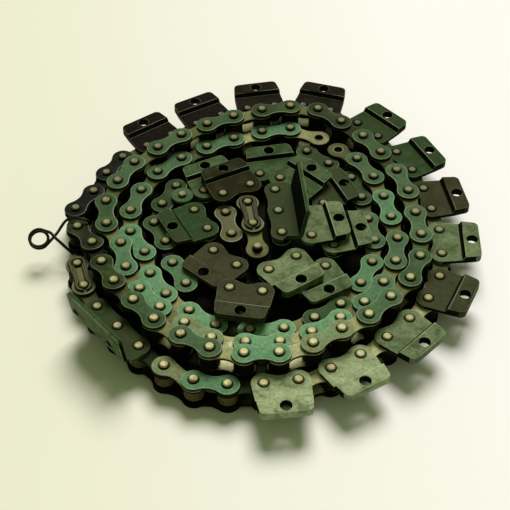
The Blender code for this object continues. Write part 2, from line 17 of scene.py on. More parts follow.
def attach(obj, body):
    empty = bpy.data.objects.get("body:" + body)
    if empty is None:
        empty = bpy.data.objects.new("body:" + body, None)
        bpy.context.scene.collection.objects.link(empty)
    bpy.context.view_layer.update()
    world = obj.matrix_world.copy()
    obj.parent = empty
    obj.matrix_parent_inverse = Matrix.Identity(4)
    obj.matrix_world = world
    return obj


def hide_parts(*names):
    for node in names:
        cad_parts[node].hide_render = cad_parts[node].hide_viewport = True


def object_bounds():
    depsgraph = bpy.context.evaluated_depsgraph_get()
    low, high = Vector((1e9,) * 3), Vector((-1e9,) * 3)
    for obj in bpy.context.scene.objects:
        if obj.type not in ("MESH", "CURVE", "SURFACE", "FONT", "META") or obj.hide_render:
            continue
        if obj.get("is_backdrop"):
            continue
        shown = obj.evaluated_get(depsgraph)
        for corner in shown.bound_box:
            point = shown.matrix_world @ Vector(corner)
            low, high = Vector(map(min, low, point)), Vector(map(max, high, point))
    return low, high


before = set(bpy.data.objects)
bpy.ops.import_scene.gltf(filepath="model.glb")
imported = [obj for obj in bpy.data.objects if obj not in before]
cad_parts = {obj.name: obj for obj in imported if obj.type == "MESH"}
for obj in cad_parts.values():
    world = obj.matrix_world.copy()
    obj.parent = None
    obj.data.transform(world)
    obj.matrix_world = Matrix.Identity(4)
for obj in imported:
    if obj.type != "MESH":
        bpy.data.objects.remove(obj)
CAD_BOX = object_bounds()

MM = 0.001

# Link plates
PLATE_RADIUS = 6.9
PLATE_WAIST = 4.4
PLATE_THICKNESS = 1.85
CHAIN_HEIGHT = 16.2
PLATE_GAP = 0.3
LOBE_STEPS = 22
WAIST_STEPS = 6
SEAM_STEPS = 5
TOP_INSET = 0.55
FOOT_INSET = 0.25
# Rounding of a plate's rim: distance inside the outline and depth below the face
RIM_ROUNDING = ((0.2, 0.12), (0.0, 0.45))
RIM_FOOT = 0.22
CRANK_MARGIN = 5.0

# Pins, rollers and bushes; profiles are radius and depth below the top
PIN_RADIUS = 2.45
PIN_HOLE = 2.5
PIN_STICKOUT = 1.7
PIN_HEAD = ((0, 0.12), (1.0, 0.1), (1.35, 0.0), (1.75, 0.0))
PIN_SHOULDER = ((1.75, 0.0), (2.1, 0.1), (PIN_RADIUS, 0.4), (PIN_RADIUS, 1.2))
PIN_SIDES = 20
# Pin shoulders are darkened: grime and painted shade round the pin end
SHOULDER_GRIME_AND_SHADE = 0.45
ROLLER_RADIUS = 5.7
ROLLER_END_RADIUS = 4.9
ROLLER_ROUNDING = 0.5
ROLLER_SIDES = 28
BUSH_BORE = 2.75
BUSH_RADIUS = 3.7
BUSH_ROUNDING = 0.2
BUSH_RISE = 0.25
BUSH_SIDES = 24

# Rings in a plate round its pin: radius, depth below the face, and darkening to near black,
# which is grime in the joint and painted shade in the recess round the pin
PIN_RINGS = ((PIN_HOLE, 0.4, 1.0), (2.9, 0.35, 1.0), (3.3, 0.02, 0.8), (3.6, -0.08, 0.15),
             (4.3, 0.0, 0.0))
# Lower plates are painted near black round their pins, up to the end distance along the link:
# painted shade next to the rollers
LOWER_RINGS = ((PIN_HOLE, 0.0, 1.0), (6.2, 0.0, 1.0))
LOWER_SHADE_END = 5.5

# Levels below the pin ends
OUTER_TOP = -PIN_STICKOUT
OUTER_LOW = OUTER_TOP - PLATE_THICKNESS
INNER_TOP = OUTER_LOW - PLATE_GAP
INNER_LOW = INNER_TOP - PLATE_THICKNESS
CHAIN_LOW = OUTER_TOP - CHAIN_HEIGHT
LOWER_OUTER_TOP = CHAIN_LOW + PLATE_THICKNESS
LOWER_INNER_TOP = LOWER_OUTER_TOP + PLATE_GAP + PLATE_THICKNESS
SHORT_PIN_END = OUTER_LOW - 0.4

# Heights above the floor, and small gaps
CORE_TOP = 3.7
FLOOR_PIN_END = CHAIN_HEIGHT + PIN_STICKOUT
LEVEL_SLACK = 0.01
ROLLER_GAP = 0.1
CORE_GAP = 0.3
FOOT_GAP = 0.05

# Lug plates
LUG_THICKNESS = 2.5
LUG_BEND_START = 11.7
LUG_BEND_END = 13.7
LUG_BEND_STEPS = 8
LUG_STEP = 2.6
LUG_OUTER_EDGE = 23.2
LUG_HALF_AT_PINS = 16.5
LUG_HALF_AT_END = 14.5
LUG_CORNER = 3.4
LUG_HOLE_RADIUS = 3.4
LUG_HOLE_CENTRE = 18.5

# Three-pin brackets
BRACKET_THICKNESS = 2.5
BRACKET_WAIST = 5.3
BRACKET_LOBE = 6.5
BEND_RADIUS = 0.5
BRACKET_BEND_STEPS = 6
CORNER_BRACKET = {"near_end": 3.5, "far_end": 6.0, "edge": 12.9, "rise": 19.5, "lean": 2.5}
MIDDLE_BRACKET = {"near_end": 4.0, "far_end": 4.0, "edge": 12.7, "rise": 21.4, "lean": 3.6}
# Corners of the flat: along the pins, and distance before the bend
NEAR_CORNERS = ((-6.3, 1.2), (-5.5, 0.0))
FAR_CORNER = 1.0
LEAF_FOOT = 1.5
LEAF_ROUNDING = 1.5
BRACKET_HOLE_RADIUS = 2.8
BRACKET_HOLES = (8.8, 40.1)
BRACKET_HOLE_HEIGHT = 6.1

# Steps across a bend, sides of a hole, and points on the arcs of bent plates
BEND_COLUMNS = 6
HOLE_SIDES = 24
LOBE_POINTS = 7
END_LOBE_POINTS = 9
LUG_CORNER_POINTS = 6
LEAF_CORNER_POINTS = 5

# Spring clip; its tips, neck and grip are measured from the second pin, and an arc
# is a radius, the degrees it runs from and to, and a number of points
CLIP_TOP = -0.4
CLIP_LOW = -1.4
CLIP_TIP_OUTSIDE = ((4.9, 0.5), (4.4, 2.4), (2.8, 4.3), (0, 5.0), (-5, 4.4))
CLIP_END_OUTSIDE = (5.4, 80, 180, 9)
CLIP_END_INSIDE = (3.2, 180, 40, 8)
CLIP_THROAT = (3.8, 2.0)
CLIP_NECK = ((-4, 1.7), (-2.6, 2.0))
CLIP_GRIP = (3.1, 130, 60, 4)
CLIP_TIP_INSIDE = ((3.2, 1.5), (3.9, 0.4))

# Loose link end: radius and depth below the plate's face
LOOSE_END_PROFILE = (
    (PIN_HOLE, PLATE_THICKNESS), (6.5, PLATE_THICKNESS), (6.8, 1.5), (6.8, 0.35), (6.5, 0.0),
    (4.6, 0.0), (3.95, -0.06), (3.5, 0.1), (PIN_HOLE, 0.3), (PIN_HOLE, PLATE_THICKNESS))
LOOSE_END_SIDES = 32

# Mesh finish
SAME_PLACE = 1e-6
SHARP_ANGLE = 38
BEVEL_ANGLE = 50
BEVEL_SEGMENTS = 2
LUG_BEVEL = 0.3
BRACKET_BEVEL = 0.2
CLIP_BEVEL = 0.3

WIRE_RADIUS = 0.9
WIRE_SIDES = 12
WIRE_STEPS = 5


def level(height, places):
    """A stretch of a route at one height."""
    return [(x, y, height) for x, y in places]


# Routes of the pin line: x, y and height of the pin ends
OUTER_TURN = level(FLOOR_PIN_END, [
    (-104, -26.5), (-98.5, -44.2), (-89.3, -61), (-76.7, -75.8),
    (-64, -90.4), (-49.3, -104), (-33, -114), (-14.8, -117.2),
    (4.6, -116.8), (23.3, -114.4), (41, -106.4), (57.6, -96.5),
    (73, -83.9), (86.6, -70), (98.6, -54.5), (106.8, -37.2),
    (110, -18.4), (110.5, 1.6), (107.6, 20.2), (104.5, 38.8),
    (99, 56.4), (90.6, 73.7), (79.6, 89.6), (67.3, 103.2),
    (50, 116.5), (32, 122), (13, 122), (-5, 118.5),
    (-22.5, 112), (-38.5, 102.5), (-54.5, 91.5), (-69.5, 80.5),
    (-84.4, 69.6), (-93.5, 54.3), (-100, 37)]) + [
    (-109.5, 20.8, 18.4), (-106.5, 2.6, 20.3), (-95.9, -14.3, 23.7)]
UPPER_TURN = [
    (-88.5, -33, 26.5), (-80, -49.8, 28), (-68, -64.7, 28), (-55.7, -79, 28),
    (-40.5, -90.3, 28), (-24.5, -99.8, 28), (-6, -103.8, 28), (13, -103.4, 28),
    (31.4, -96.6, 28), (47.4, -86.2, 28), (62.9, -75.8, 28), (76.1, -61.8, 27.5),
    (88.3, -46.6, 27), (95.6, -28.6, 26.5), (98, -9.8, 26), (96.3, 9, 26),
    (93.6, 28.6, 26), (88, 47.4, 26), (79.3, 64.7, 26.3), (69, 80, 26.8),
    (55.7, 94.2, 27.2), (41, 106, 28), (23, 107.8, 29), (4.5, 103, 29.8),
    (-13.8, 97, 29.4), (-30.8, 89.6, 28.8), (-46.9, 79.3, 28.4), (-61.4, 67.3, 28),
    (-75.3, 53.8, 27.2), (-84.5, 37.2, 26.5), (-90.3, 19.5, 25.7), (-88.5, 0.6, 25)]
THIRD_TURN = [
    (-78.8, -15.6, 24.5), (-74.5, -34.6, 23.8), (-65.6, -51.4, 23.3), (-53.4, -65.4, 22.8),
    (-39.2, -76.9, 22.5)] + level(22.3, [
    (-24, -87.8), (-5.3, -91), (13.6, -90.6),
    (31.2, -83.5), (47.6, -73), (61.6, -61.1), (73.5, -45.6),
    (81.8, -28.4), (84.3, -9.4), (81.9, 9.2), (78.7, 27.5),
    (73.8, 45.9), (64.4, 62.7), (53.2, 74.2)])
INNER_TURN = [
    (41.3, 86.2, 22.3), (22.9, 93.2, 22.3), (4.5, 90, 22.2), (-13.6, 83.3, 22),
    (-30.8, 75.3, 21.8), (-46.5, 64.2, 21.8), (-60.9, 51, 21.8), (-70.1, 34.3, 21.4),
    (-75.6, 16.6, 20.6), (-74.5, -1.4, 20), (-65, -18, 19.4), (-60.8, -35.4, 19),
    (-50.9, -51.3, 18.6), (-37.2, -63.7, 18.2), (-22, -74.6, 18)] + level(FLOOR_PIN_END, [
    (-3, -78), (16, -76.9), (33.4, -69.1), (48.6, -58.7), (60.9, -42),
    (68.6, -25), (71.2, -6.7), (68.4, 11.8), (65.7, 31.3),
    (60.3, 49.4), (46.6, 63), (33.2, 75)])
MIDDLE_TURN = level(FLOOR_PIN_END, [
    (-39.8, -42.2), (-48.3, -25.7), (-53.2, -7.7), (-61, 8.5),
    (-57, 25.3), (-49.1, 41.8)])

# Lug links in the middle: two pins, side of the strip, on rollers or not, tone
MIDDLE_LUGS = {
    "middle_lug_01": ((2.9, 52.3, 18.2), (21.6, 55.9, 18.2), 1, True, 0.45),
    "middle_lug_02": ((-19.7, 29.6, 22.2), (-3, 38.1, 22.2), 1, False, 0.8),
    "middle_lug_03": ((-31.6, 36.9, 18.2), (-14.6, 45.5, 18.2), 1, True, 0.4),
    "middle_lug_04": ((-28.6, 1.4, 19.4), (-37, 17.7, 19.4), 1, True, 0.52),
    "middle_lug_05": ((-24.6, -16.2, 18.2), (-10.7, -28.4, 18.2), -1, True, 0.68),
    "middle_lug_06": ((7.9, -35.6, 21.8), (24, -24.6, 21.8), -1, True, 0.25),
    "middle_lug_07": ((24.7, -38.5, 17.9), (41.1, -28.8, 17.9), -1, True, 0.35),
    "middle_lug_08": ((-14.5, -51.5, 23.6), (4.2, -54.6, 23.6), -1, True, 0.67),
    "middle_lug_09": ((15.5, 43, 23.1), (29, 29.9, 23.1), 1, False, 0.4),
    "middle_lug_10": ((34.4, 41.4, 19.2), (41.9, 24.1, 19.2), 1, True, 0.6),
    "middle_lug_11": ((30.1, 10.3, 23.1), (33.4, -8.2, 23.1), 1, False, 0.28),
    "middle_lug_12": ((43.4, 6.5, 19.2), (46.6, -12.2, 19.2), 1, True, 0.3)}
THIN_STRIPS = ("middle_lug_03", "middle_lug_04", "middle_lug_05", "middle_lug_07",
               "middle_lug_09", "middle_lug_10", "middle_lug_12")
MIDDLE_BRACKET_PINS = [(15.8, -8.8, 26), (13.9, 10, 26), (12.2, 28.8, 26)]
CLIP_LINK_PINS = [(-4.5, 22.2, 22), (-1.3, 3.4, 22), (1.4, -15.3, 21)]
PLAIN_LINK_PINS = [(-17.9, 17.2, 18.2), (-14.1, -1.4, 18.2)]
LOOSE_END_PIN = (-44.7, 30.3, 21)

# Tie wire: the leg over the chain, the round eye, the leg into the gap
WIRE_OVER = [
    (-99, 6.6, 17.5), (-100.4, 5.6, 20.6), (-103.6, 6.1, 21.4), (-108.2, 8.4, 20.6),
    (-111.9, 9, 19.2), (-114.7, 7.9, 17.6), (-116.8, 4.8, 16.2), (-118.9, 0.5, 15.2)]
WIRE_INTO = [
    (-121.8, -3.8, 19.6), (-119.2, -6.5, 18.6), (-116.8, -8.3, 17.4), (-114.7, -9.6, 16),
    (-112.4, -10.7, 14), (-110.3, -11, 11.5), (-108.7, -11, 9)]
EYE_CENTRE = (-128.8, -5.9, 16.6)
EYE_RADIUS = 5.5
EYE_TILT = 72.0
EYE_START = -25.0
EYE_SWEEP = -640.0
EYE_RISE = 2.1
EYE_STEPS = 18

# Pin numbers along the main run
FIRST_LUG = 8
LAST_LUG = 30
BRACKET_LINK = 2
OFFSET_LINK = 5
MAIN_CUTS = (7, 13, 19, 25, 31, 37, 43, 49, 55, 61, 69, 75, 81)
INNER_CUTS = (6, 12, 20)
# Rollers painted lighter as painted light, at the front of the outer turn
LIT_ROLLERS = (4, 5, 6, 7, 8)

# Tone of each lug plate: 0 pale, 0.35 green, 0.5 dark green, 0.65 grey, 0.95 black
LUG_TONES = (0.08, 0.1, 0.27, 0.65, 0.28, 0.7, 0.5, 0.52, 0.9, 0.9, 0.97, 1.0)
# Lugs whose bend edges get lighter edge steel: wear and painted highlight on the bends
HIGHLIGHT_BENDS = (
    "lug_plate_08", "lug_plate_09", "lug_plate_10", "lug_plate_11", "lug_plate_12",
    "middle_lug_01", "middle_lug_02", "middle_lug_03", "middle_lug_09")

# Tone of each plate in the order of the links, ten to a line. Outer plates: 0 black,
# 0.3 dark green, 0.45 grey green, 0.6 teal, 0.75 bright teal, 0.9 pale olive, 1 cream;
# inner plates: 0 black to 1 cream. Links that show only their lower plates have 0.5.
# The black tones of links 32 to 37 are painted shade under the upper turn
MAIN_TONES = (
    0.95, 0.25, 0.5, 0.5, 0.12, 0.5, 0.6, 0.15, 0.5, 0.88,
    0.5, 1.0, 0.5, 0.83, 0.5, 0.38, 0.5, 0.38, 0.5, 0.2,
    0.5, 0.2, 0.5, 0.28, 0.5, 0.42, 0.5, 0.42, 0.5, 0.25,
    0.5, 0.35, 0.0, 0.0, 0.0, 0.0, 0.1, 0.0, 0.14, 0.25,
    0.33, 0.58, 0.42, 0.8, 0.68, 0.85, 0.87, 0.75, 0.45, 0.48,
    0.35, 0.35, 0.46, 0.42, 0.44, 0.25, 0.33, 0.18, 0.15, 0.45,
    0.22, 0.55, 0.33, 0.42, 0.38, 0.42, 0.42, 0.35, 0.32, 0.5,
    0.55, 0.5, 0.65, 0.5, 0.84, 1.0, 0.77, 0.8, 0.72, 0.48,
    0.55, 0.55, 0.46, 0.4, 0.6, 0.5, 0.42, 0.35)
INNER_TONES = (
    0.7, 0.55, 0.78, 0.48, 0.35, 0.45, 0.3, 0.46, 0.5, 0.62,
    0.6, 0.68, 0.65, 0.72, 0.2, 0.75, 0.6, 0.3, 0.6, 0.58,
    0.55, 0.48, 0.35, 0.26, 0.25, 0.22)
MIDDLE_TONES = (0.5, 0.0, 0.32, 0.2, 0.2)
# Lower plates take a lighter tone than their upper ones: painted light where they show between
# the rollers
LOWER_PAINTED_LIGHT = 1.25
OFFSET_TONE = 0.88
CLIP_LINK_TONES = (0.95, 0.5)
PLAIN_LINK_TONE = 0.85
LOOSE_END_TONE = 0.42
LOOSE_PIN_TONE = 0.5
SPRING_CLIP_TONE = 0.5
MIDDLE_CLIP_TONE = 0.3
CORNER_BRACKET_TONE = 0.57
MIDDLE_BRACKET_TONE = 0.6
# The underside and outer face of a bracket are painted lighter: painted light
BRACKET_UNDERSIDE_LIGHT = -0.25
# Most rollers are painted near black as painted shade, those listed above lighter as painted
# light
ROLLER_TONE = 0.2
LIT_ROLLER_TONE = 0.5

# Painted light: pin ends are painted brighter towards the front, and on the turns above
# RAISED_HEIGHT
PIN_TONE = 0.45
PIN_LIGHT_DEPTH = 220
RAISED_HEIGHT = 20
RAISED_LIGHT_LIFT = 0.1
RAISED_LOWEST = 0.32

# Material numbers in every piece; sides, undersides, hole walls and bends get near black as
# painted shade, and rims a lighter edge steel that is partly wear and partly painted highlight
PLATE, INNER, PIN, ROLLER, SHADED, LUG, RIM_HIGHLIGHT, CLIP, WIRE, LUG_RIM_HIGHLIGHT = range(10)


# Mesh tools

def add_object(name, data):
    made = bpy.data.objects.new(name, data)
    bpy.context.scene.collection.objects.link(made)
    return made


class Part:
    """Collects vertices, faces and shading marks in millimetres."""

    def __init__(self):
        self.points = []
        self.faces = []
        self.materials = []
        self.grime_and_shade = []
        self.tone = []

    def vertex(self, point, grime_and_shade=0.0, tone=0.0):
        self.points.append(Vector(point))
        self.grime_and_shade.append(grime_and_shade)
        self.tone.append(tone)
        return len(self.points) - 1

    def face(self, corners, material):
        self.faces.append(tuple(corners))
        self.materials.append(material)

    def band(self, lower, upper, material, closed=True):
        """Quads between two rows of vertices of one length."""
        count = len(lower)
        for i in range(count if closed else count - 1):
            j = (i + 1) % count
            self.face((lower[i], lower[j], upper[j], upper[i]), material)

    def region(self, loops, material):
        """A flat region bounded by its first loop, with holes."""
        flat = [i for loop in loops for i in loop]
        outlines = [[self.points[i] for i in loop] for loop in loops]
        for corners in tessellate_polygon(outlines):
            self.face([flat[i] for i in corners], material)

    def add(self, other, placement=Matrix.Identity(4), tone=0.0, swap=None):
        """Copy another part in, placed by a matrix; swap trades materials."""
        start = len(self.points)
        self.points.extend(placement @ point for point in other.points)
        self.grime_and_shade.extend(other.grime_and_shade)
        self.tone.extend(tone + own for own in other.tone)
        for corners, material in zip(other.faces, other.materials):
            self.faces.append(tuple(i + start for i in corners))
            self.materials.append(swap.get(material, material) if swap else material)

    def build(self, name, materials, node, bevel=0.0, bevel_material=LUG_RIM_HIGHLIGHT):
        """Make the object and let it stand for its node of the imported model."""
        mesh = bpy.data.meshes.new(name)
        mesh.from_pydata([point * MM for point in self.points], [], self.faces)
        for material in materials:
            mesh.materials.append(material)
        mesh.polygons.foreach_set("material_index", self.materials)
        for title, values in (("grime_and_shade", self.grime_and_shade), ("tone", self.tone)):
            mesh.attributes.new(title, "FLOAT", "POINT").data.foreach_set("value", values)
        data = bmesh.new()
        data.from_mesh(mesh)
        bmesh.ops.remove_doubles(data, verts=data.verts, dist=SAME_PLACE)
        bmesh.ops.recalc_face_normals(data, faces=data.faces)
        data.to_mesh(mesh)
        data.free()
        mesh.shade_smooth()
        mesh.set_sharp_from_angle(angle=math.radians(SHARP_ANGLE))
        obj = add_object(name, mesh)
        if bevel:
            round_edges(obj, bevel, bevel_material)
        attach(obj, "root")
        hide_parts(node)


def round_edges(obj, width, material):
    step = obj.modifiers.new("edges", "BEVEL")
    step.width = width * MM
    step.segments = BEVEL_SEGMENTS
    step.limit_method = "ANGLE"
    step.angle_limit = math.radians(BEVEL_ANGLE)
    step.use_clamp_overlap = False
    # Bevel faces take the given material: lighter edge steel as wear and painted highlight on
    # lugs and brackets, near-black painted shade on clips
    step.material = material


def arc(centre, radius, start, end, count):
    """Points on an arc from start to end degrees, both ends included."""
    made = []
    for i in range(count):
        angle = math.radians(start + (end - start) * i / (count - 1))
        made.append((centre[0] + radius * math.cos(angle), centre[1] + radius * math.sin(angle)))
    return made


def circle(centre, radius, count):
    """Points all round a circle, the first one at its right."""
    return arc(centre, radius, 0, 360 * (count - 1) / count, count)


def link_frame(start, end):
    """Placement with X along the link and Z square to its plates."""
    along = (end - start).normalized()
    across = Vector((0, 0, 1)).cross(along).normalized()
    up = along.cross(across)
    made = Matrix((along, across, up)).transposed().to_4x4()
    made.translation = start
    return made


def heading_frame(points, i):
    """Upright placement at a pin, turned to the heading of its route."""
    ahead = points[min(i + 1, len(points) - 1)]
    behind = points[max(i - 1, 0)]
    heading = math.atan2(ahead.y - behind.y, ahead.x - behind.x)
    return Matrix.Translation(points[i]) @ Matrix.Rotation(heading, 4, "Z")


def revolve(profile, sides, material, grime_and_shade=0.0):
    """A body of revolution about Z; the profile is a row of radius and height."""
    part = Part()
    rings = []
    for radius, z in profile:
        if radius == 0:
            rings.append([part.vertex((0, 0, z), grime_and_shade)])
            continue
        rings.append([part.vertex((x, y, z), grime_and_shade) for x, y in circle((0, 0), radius, sides)])
    for lower, upper in zip(rings, rings[1:]):
        if len(lower) == 1:
            for i in range(sides):
                part.face((lower[0], upper[i], upper[(i + 1) % sides]), material)
        elif len(upper) == 1:
            for i in range(sides):
                part.face((lower[(i + 1) % sides], lower[i], upper[0]), material)
        else:
            part.band(lower, upper, material)
    return part


# Link plates, pins and rollers

def waist_bend(half, radius, waist):
    """Radius of the hollow between two lobes that are two halves apart."""
    return (half ** 2 + waist ** 2 - radius ** 2) / (2 * (radius - waist))


def half_outline(half, radius, waist, bend):
    """Outline of a plate half round the pin at the origin, from below to above."""
    lean = math.degrees(math.atan2(waist + bend, half))
    top = arc((half, waist + bend), bend, 180 + lean, 270, WAIST_STEPS + 1)
    bottom = [(x, -y) for x, y in reversed(top)]
    lobe = arc((0, 0), radius, -lean, -360 + lean, LOBE_STEPS)
    return bottom[:-1] + lobe + top[1:]


def half_plate(length, rings, material, rim_material, closed_seam):
    """Half of a link plate with its pin hole, its top face at Z = 0.

    closed_seam adds the face across the middle of the link.
    """
    part = Part()
    half = length / 2
    bend = waist_bend(half, PLATE_RADIUS, PLATE_WAIST)

    def outline(inset, z, seam=False):
        points = half_outline(half, PLATE_RADIUS - inset, PLATE_WAIST - inset, bend + inset)
        made = [part.vertex((x, y, z)) for x, y in points]
        if not seam:
            return made
        reach = PLATE_WAIST - inset
        for i in range(1, SEAM_STEPS):
            made.append(part.vertex((half, reach - 2 * reach * i / SEAM_STEPS, z)))
        return made

    def ring(directions, radius, z, grime_and_shade):
        return [part.vertex((radius * math.cos(a), radius * math.sin(a), z), grime_and_shade)
                for a in directions]

    top = outline(TOP_INSET, 0.0, True)
    directions = [math.atan2(part.points[i].y, part.points[i].x) for i in top]
    previous = top
    for radius, depth, grime_and_shade in reversed(rings):
        current = ring(directions, radius, -depth, grime_and_shade)
        part.band(previous, current, material)
        previous = current
    bottom = outline(FOOT_INSET, -PLATE_THICKNESS, True)
    foot = ring(directions, PIN_HOLE, -PLATE_THICKNESS, 1.0)
    part.band(previous, foot, SHADED)
    part.band(foot, bottom, SHADED)
    edge = len(top) - SEAM_STEPS + 1
    rows = [top[:edge]] + [outline(inset, -depth) for inset, depth in RIM_ROUNDING]
    rows += [outline(0.0, RIM_FOOT - PLATE_THICKNESS), bottom[:edge]]
    # The rounded rim takes the given rim steel, on outer plates lighter as wear and painted
    # highlight; the side below it is near-black painted shade
    for number, (upper, lower) in enumerate(zip(rows, rows[1:])):
        own = rim_material if number < len(RIM_ROUNDING) else SHADED
        part.band(upper, lower, own, closed=False)
    if closed_seam:
        top_seam = [top[edge - 1]] + top[edge:] + [top[0]]
        low_seam = [bottom[edge - 1]] + bottom[edge:] + [bottom[0]]
        side = [row[0] for row in rows[1:-1]]
        other_side = [row[-1] for row in rows[1:-1]]
        part.face(top_seam + side + low_seam[::-1] + other_side[::-1], SHADED)
    return part


def plate_part(length, outer, lower, halves=2):
    """A link plate, or its first half, with X along the link from its first pin."""
    closed_seam = halves == 1
    # Lower plates: outer ones near-black painted shade, inner ones near black round their pins
    # as painted shade
    if lower:
        half = half_plate(length, LOWER_RINGS, SHADED if outer else INNER, SHADED, closed_seam)
        half.grime_and_shade = [1.0 if point.x < LOWER_SHADE_END else 0.0 for point in half.points]
    elif outer:
        half = half_plate(length, PIN_RINGS, PLATE, RIM_HIGHLIGHT, closed_seam)
    else:
        half = half_plate(length, PIN_RINGS, INNER, INNER, closed_seam)
    whole = Part()
    whole.add(half)
    if halves == 2:
        whole.add(half, Matrix.Translation((length, 0, 0)) @ Matrix.Rotation(math.pi, 4, "Z"))
    return whole


def pin_part(top, low):
    """A pin with a dished end, a worn shoulder darkened with grime and painted shade, and a
    shank painted near black as painted shade.
    """
    shank_top = top - PIN_SHOULDER[-1][1]
    part = revolve([(radius, top - depth) for radius, depth in PIN_HEAD], PIN_SIDES, PIN)
    part.add(revolve([(radius, top - depth) for radius, depth in PIN_SHOULDER], PIN_SIDES, PIN,
                     SHOULDER_GRIME_AND_SHADE))
    part.add(revolve(((PIN_RADIUS, shank_top), (PIN_RADIUS, low), (0, low)), PIN_SIDES, SHADED))
    return part


def roller_part(top, low):
    profile = ((0, top), (ROLLER_END_RADIUS, top), (ROLLER_RADIUS, top - ROLLER_ROUNDING),
               (ROLLER_RADIUS, low + ROLLER_ROUNDING), (ROLLER_END_RADIUS, low), (0, low))
    return revolve(profile, ROLLER_SIDES, ROLLER)


def bush_part(top, low):
    """An open bush end, as shown where a run of chain ends in an inner link."""
    shoulder = top - BUSH_ROUNDING
    profile = ((BUSH_BORE, low), (BUSH_BORE, shoulder), (BUSH_BORE + BUSH_ROUNDING, top),
               (BUSH_RADIUS - BUSH_ROUNDING, top), (BUSH_RADIUS, shoulder), (BUSH_RADIUS, low),
               (BUSH_BORE, low))
    return revolve(profile, BUSH_SIDES, PIN)


def offset_part(length):
    """A cranked link plate: outer level at its first pin, inner level at the other."""
    part = plate_part(length, True, False)
    drop = PLATE_THICKNESS + PLATE_GAP
    for point in part.points:
        share = min(max((point.x - CRANK_MARGIN) / (length - 2 * CRANK_MARGIN), 0.0), 1.0)
        point.z -= drop * share * share * (3 - 2 * share)
    return part


# Bent plates

class Form:
    """Cross-section of a bent plate: flat, then a bend, then a straight strip.

    Each row of the bend is its distance along the plate, its place and its normal.
    """

    def __init__(self, rows, direction):
        self.rows = rows
        self.direction = direction

    def place(self, x, s, depth):
        """The point at s along the plate and at a depth under its upper face."""
        first, last = self.rows[0], self.rows[-1]
        if s <= first[0]:
            y, z, ny, nz = s, 0.0, 0.0, 1.0
        elif s >= last[0]:
            y, z, ny, nz = last[1:]
            y += (s - last[0]) * self.direction[0]
            z += (s - last[0]) * self.direction[1]
        else:
            y, z, ny, nz = next(row[1:] for row in self.rows if abs(row[0] - s) < SAME_PLACE)
        return Vector((x, y - depth * ny, z - depth * nz))


def step_form():
    """The joggle of a lug plate."""
    rows = []
    for i in range(LUG_BEND_STEPS + 1):
        share = i / LUG_BEND_STEPS
        y = LUG_BEND_START + (LUG_BEND_END - LUG_BEND_START) * share
        lift = LUG_STEP * share * share * (3 - 2 * share)
        rows.append((y, y, lift, 0.0, 1.0))
    return Form(rows, (1.0, 0.0))


def corner_form(start, radius, degrees):
    """A bend upwards through some degrees; radius is that of the upper face."""
    rows = []
    for i in range(BRACKET_BEND_STEPS + 1):
        angle = math.radians(degrees) * i / BRACKET_BEND_STEPS
        rows.append((start + radius * angle, start + radius * math.sin(angle),
                     radius * (1 - math.cos(angle)), -math.sin(angle), math.cos(angle)))
    end = math.radians(degrees)
    return Form(rows, (math.cos(end), math.sin(end)))


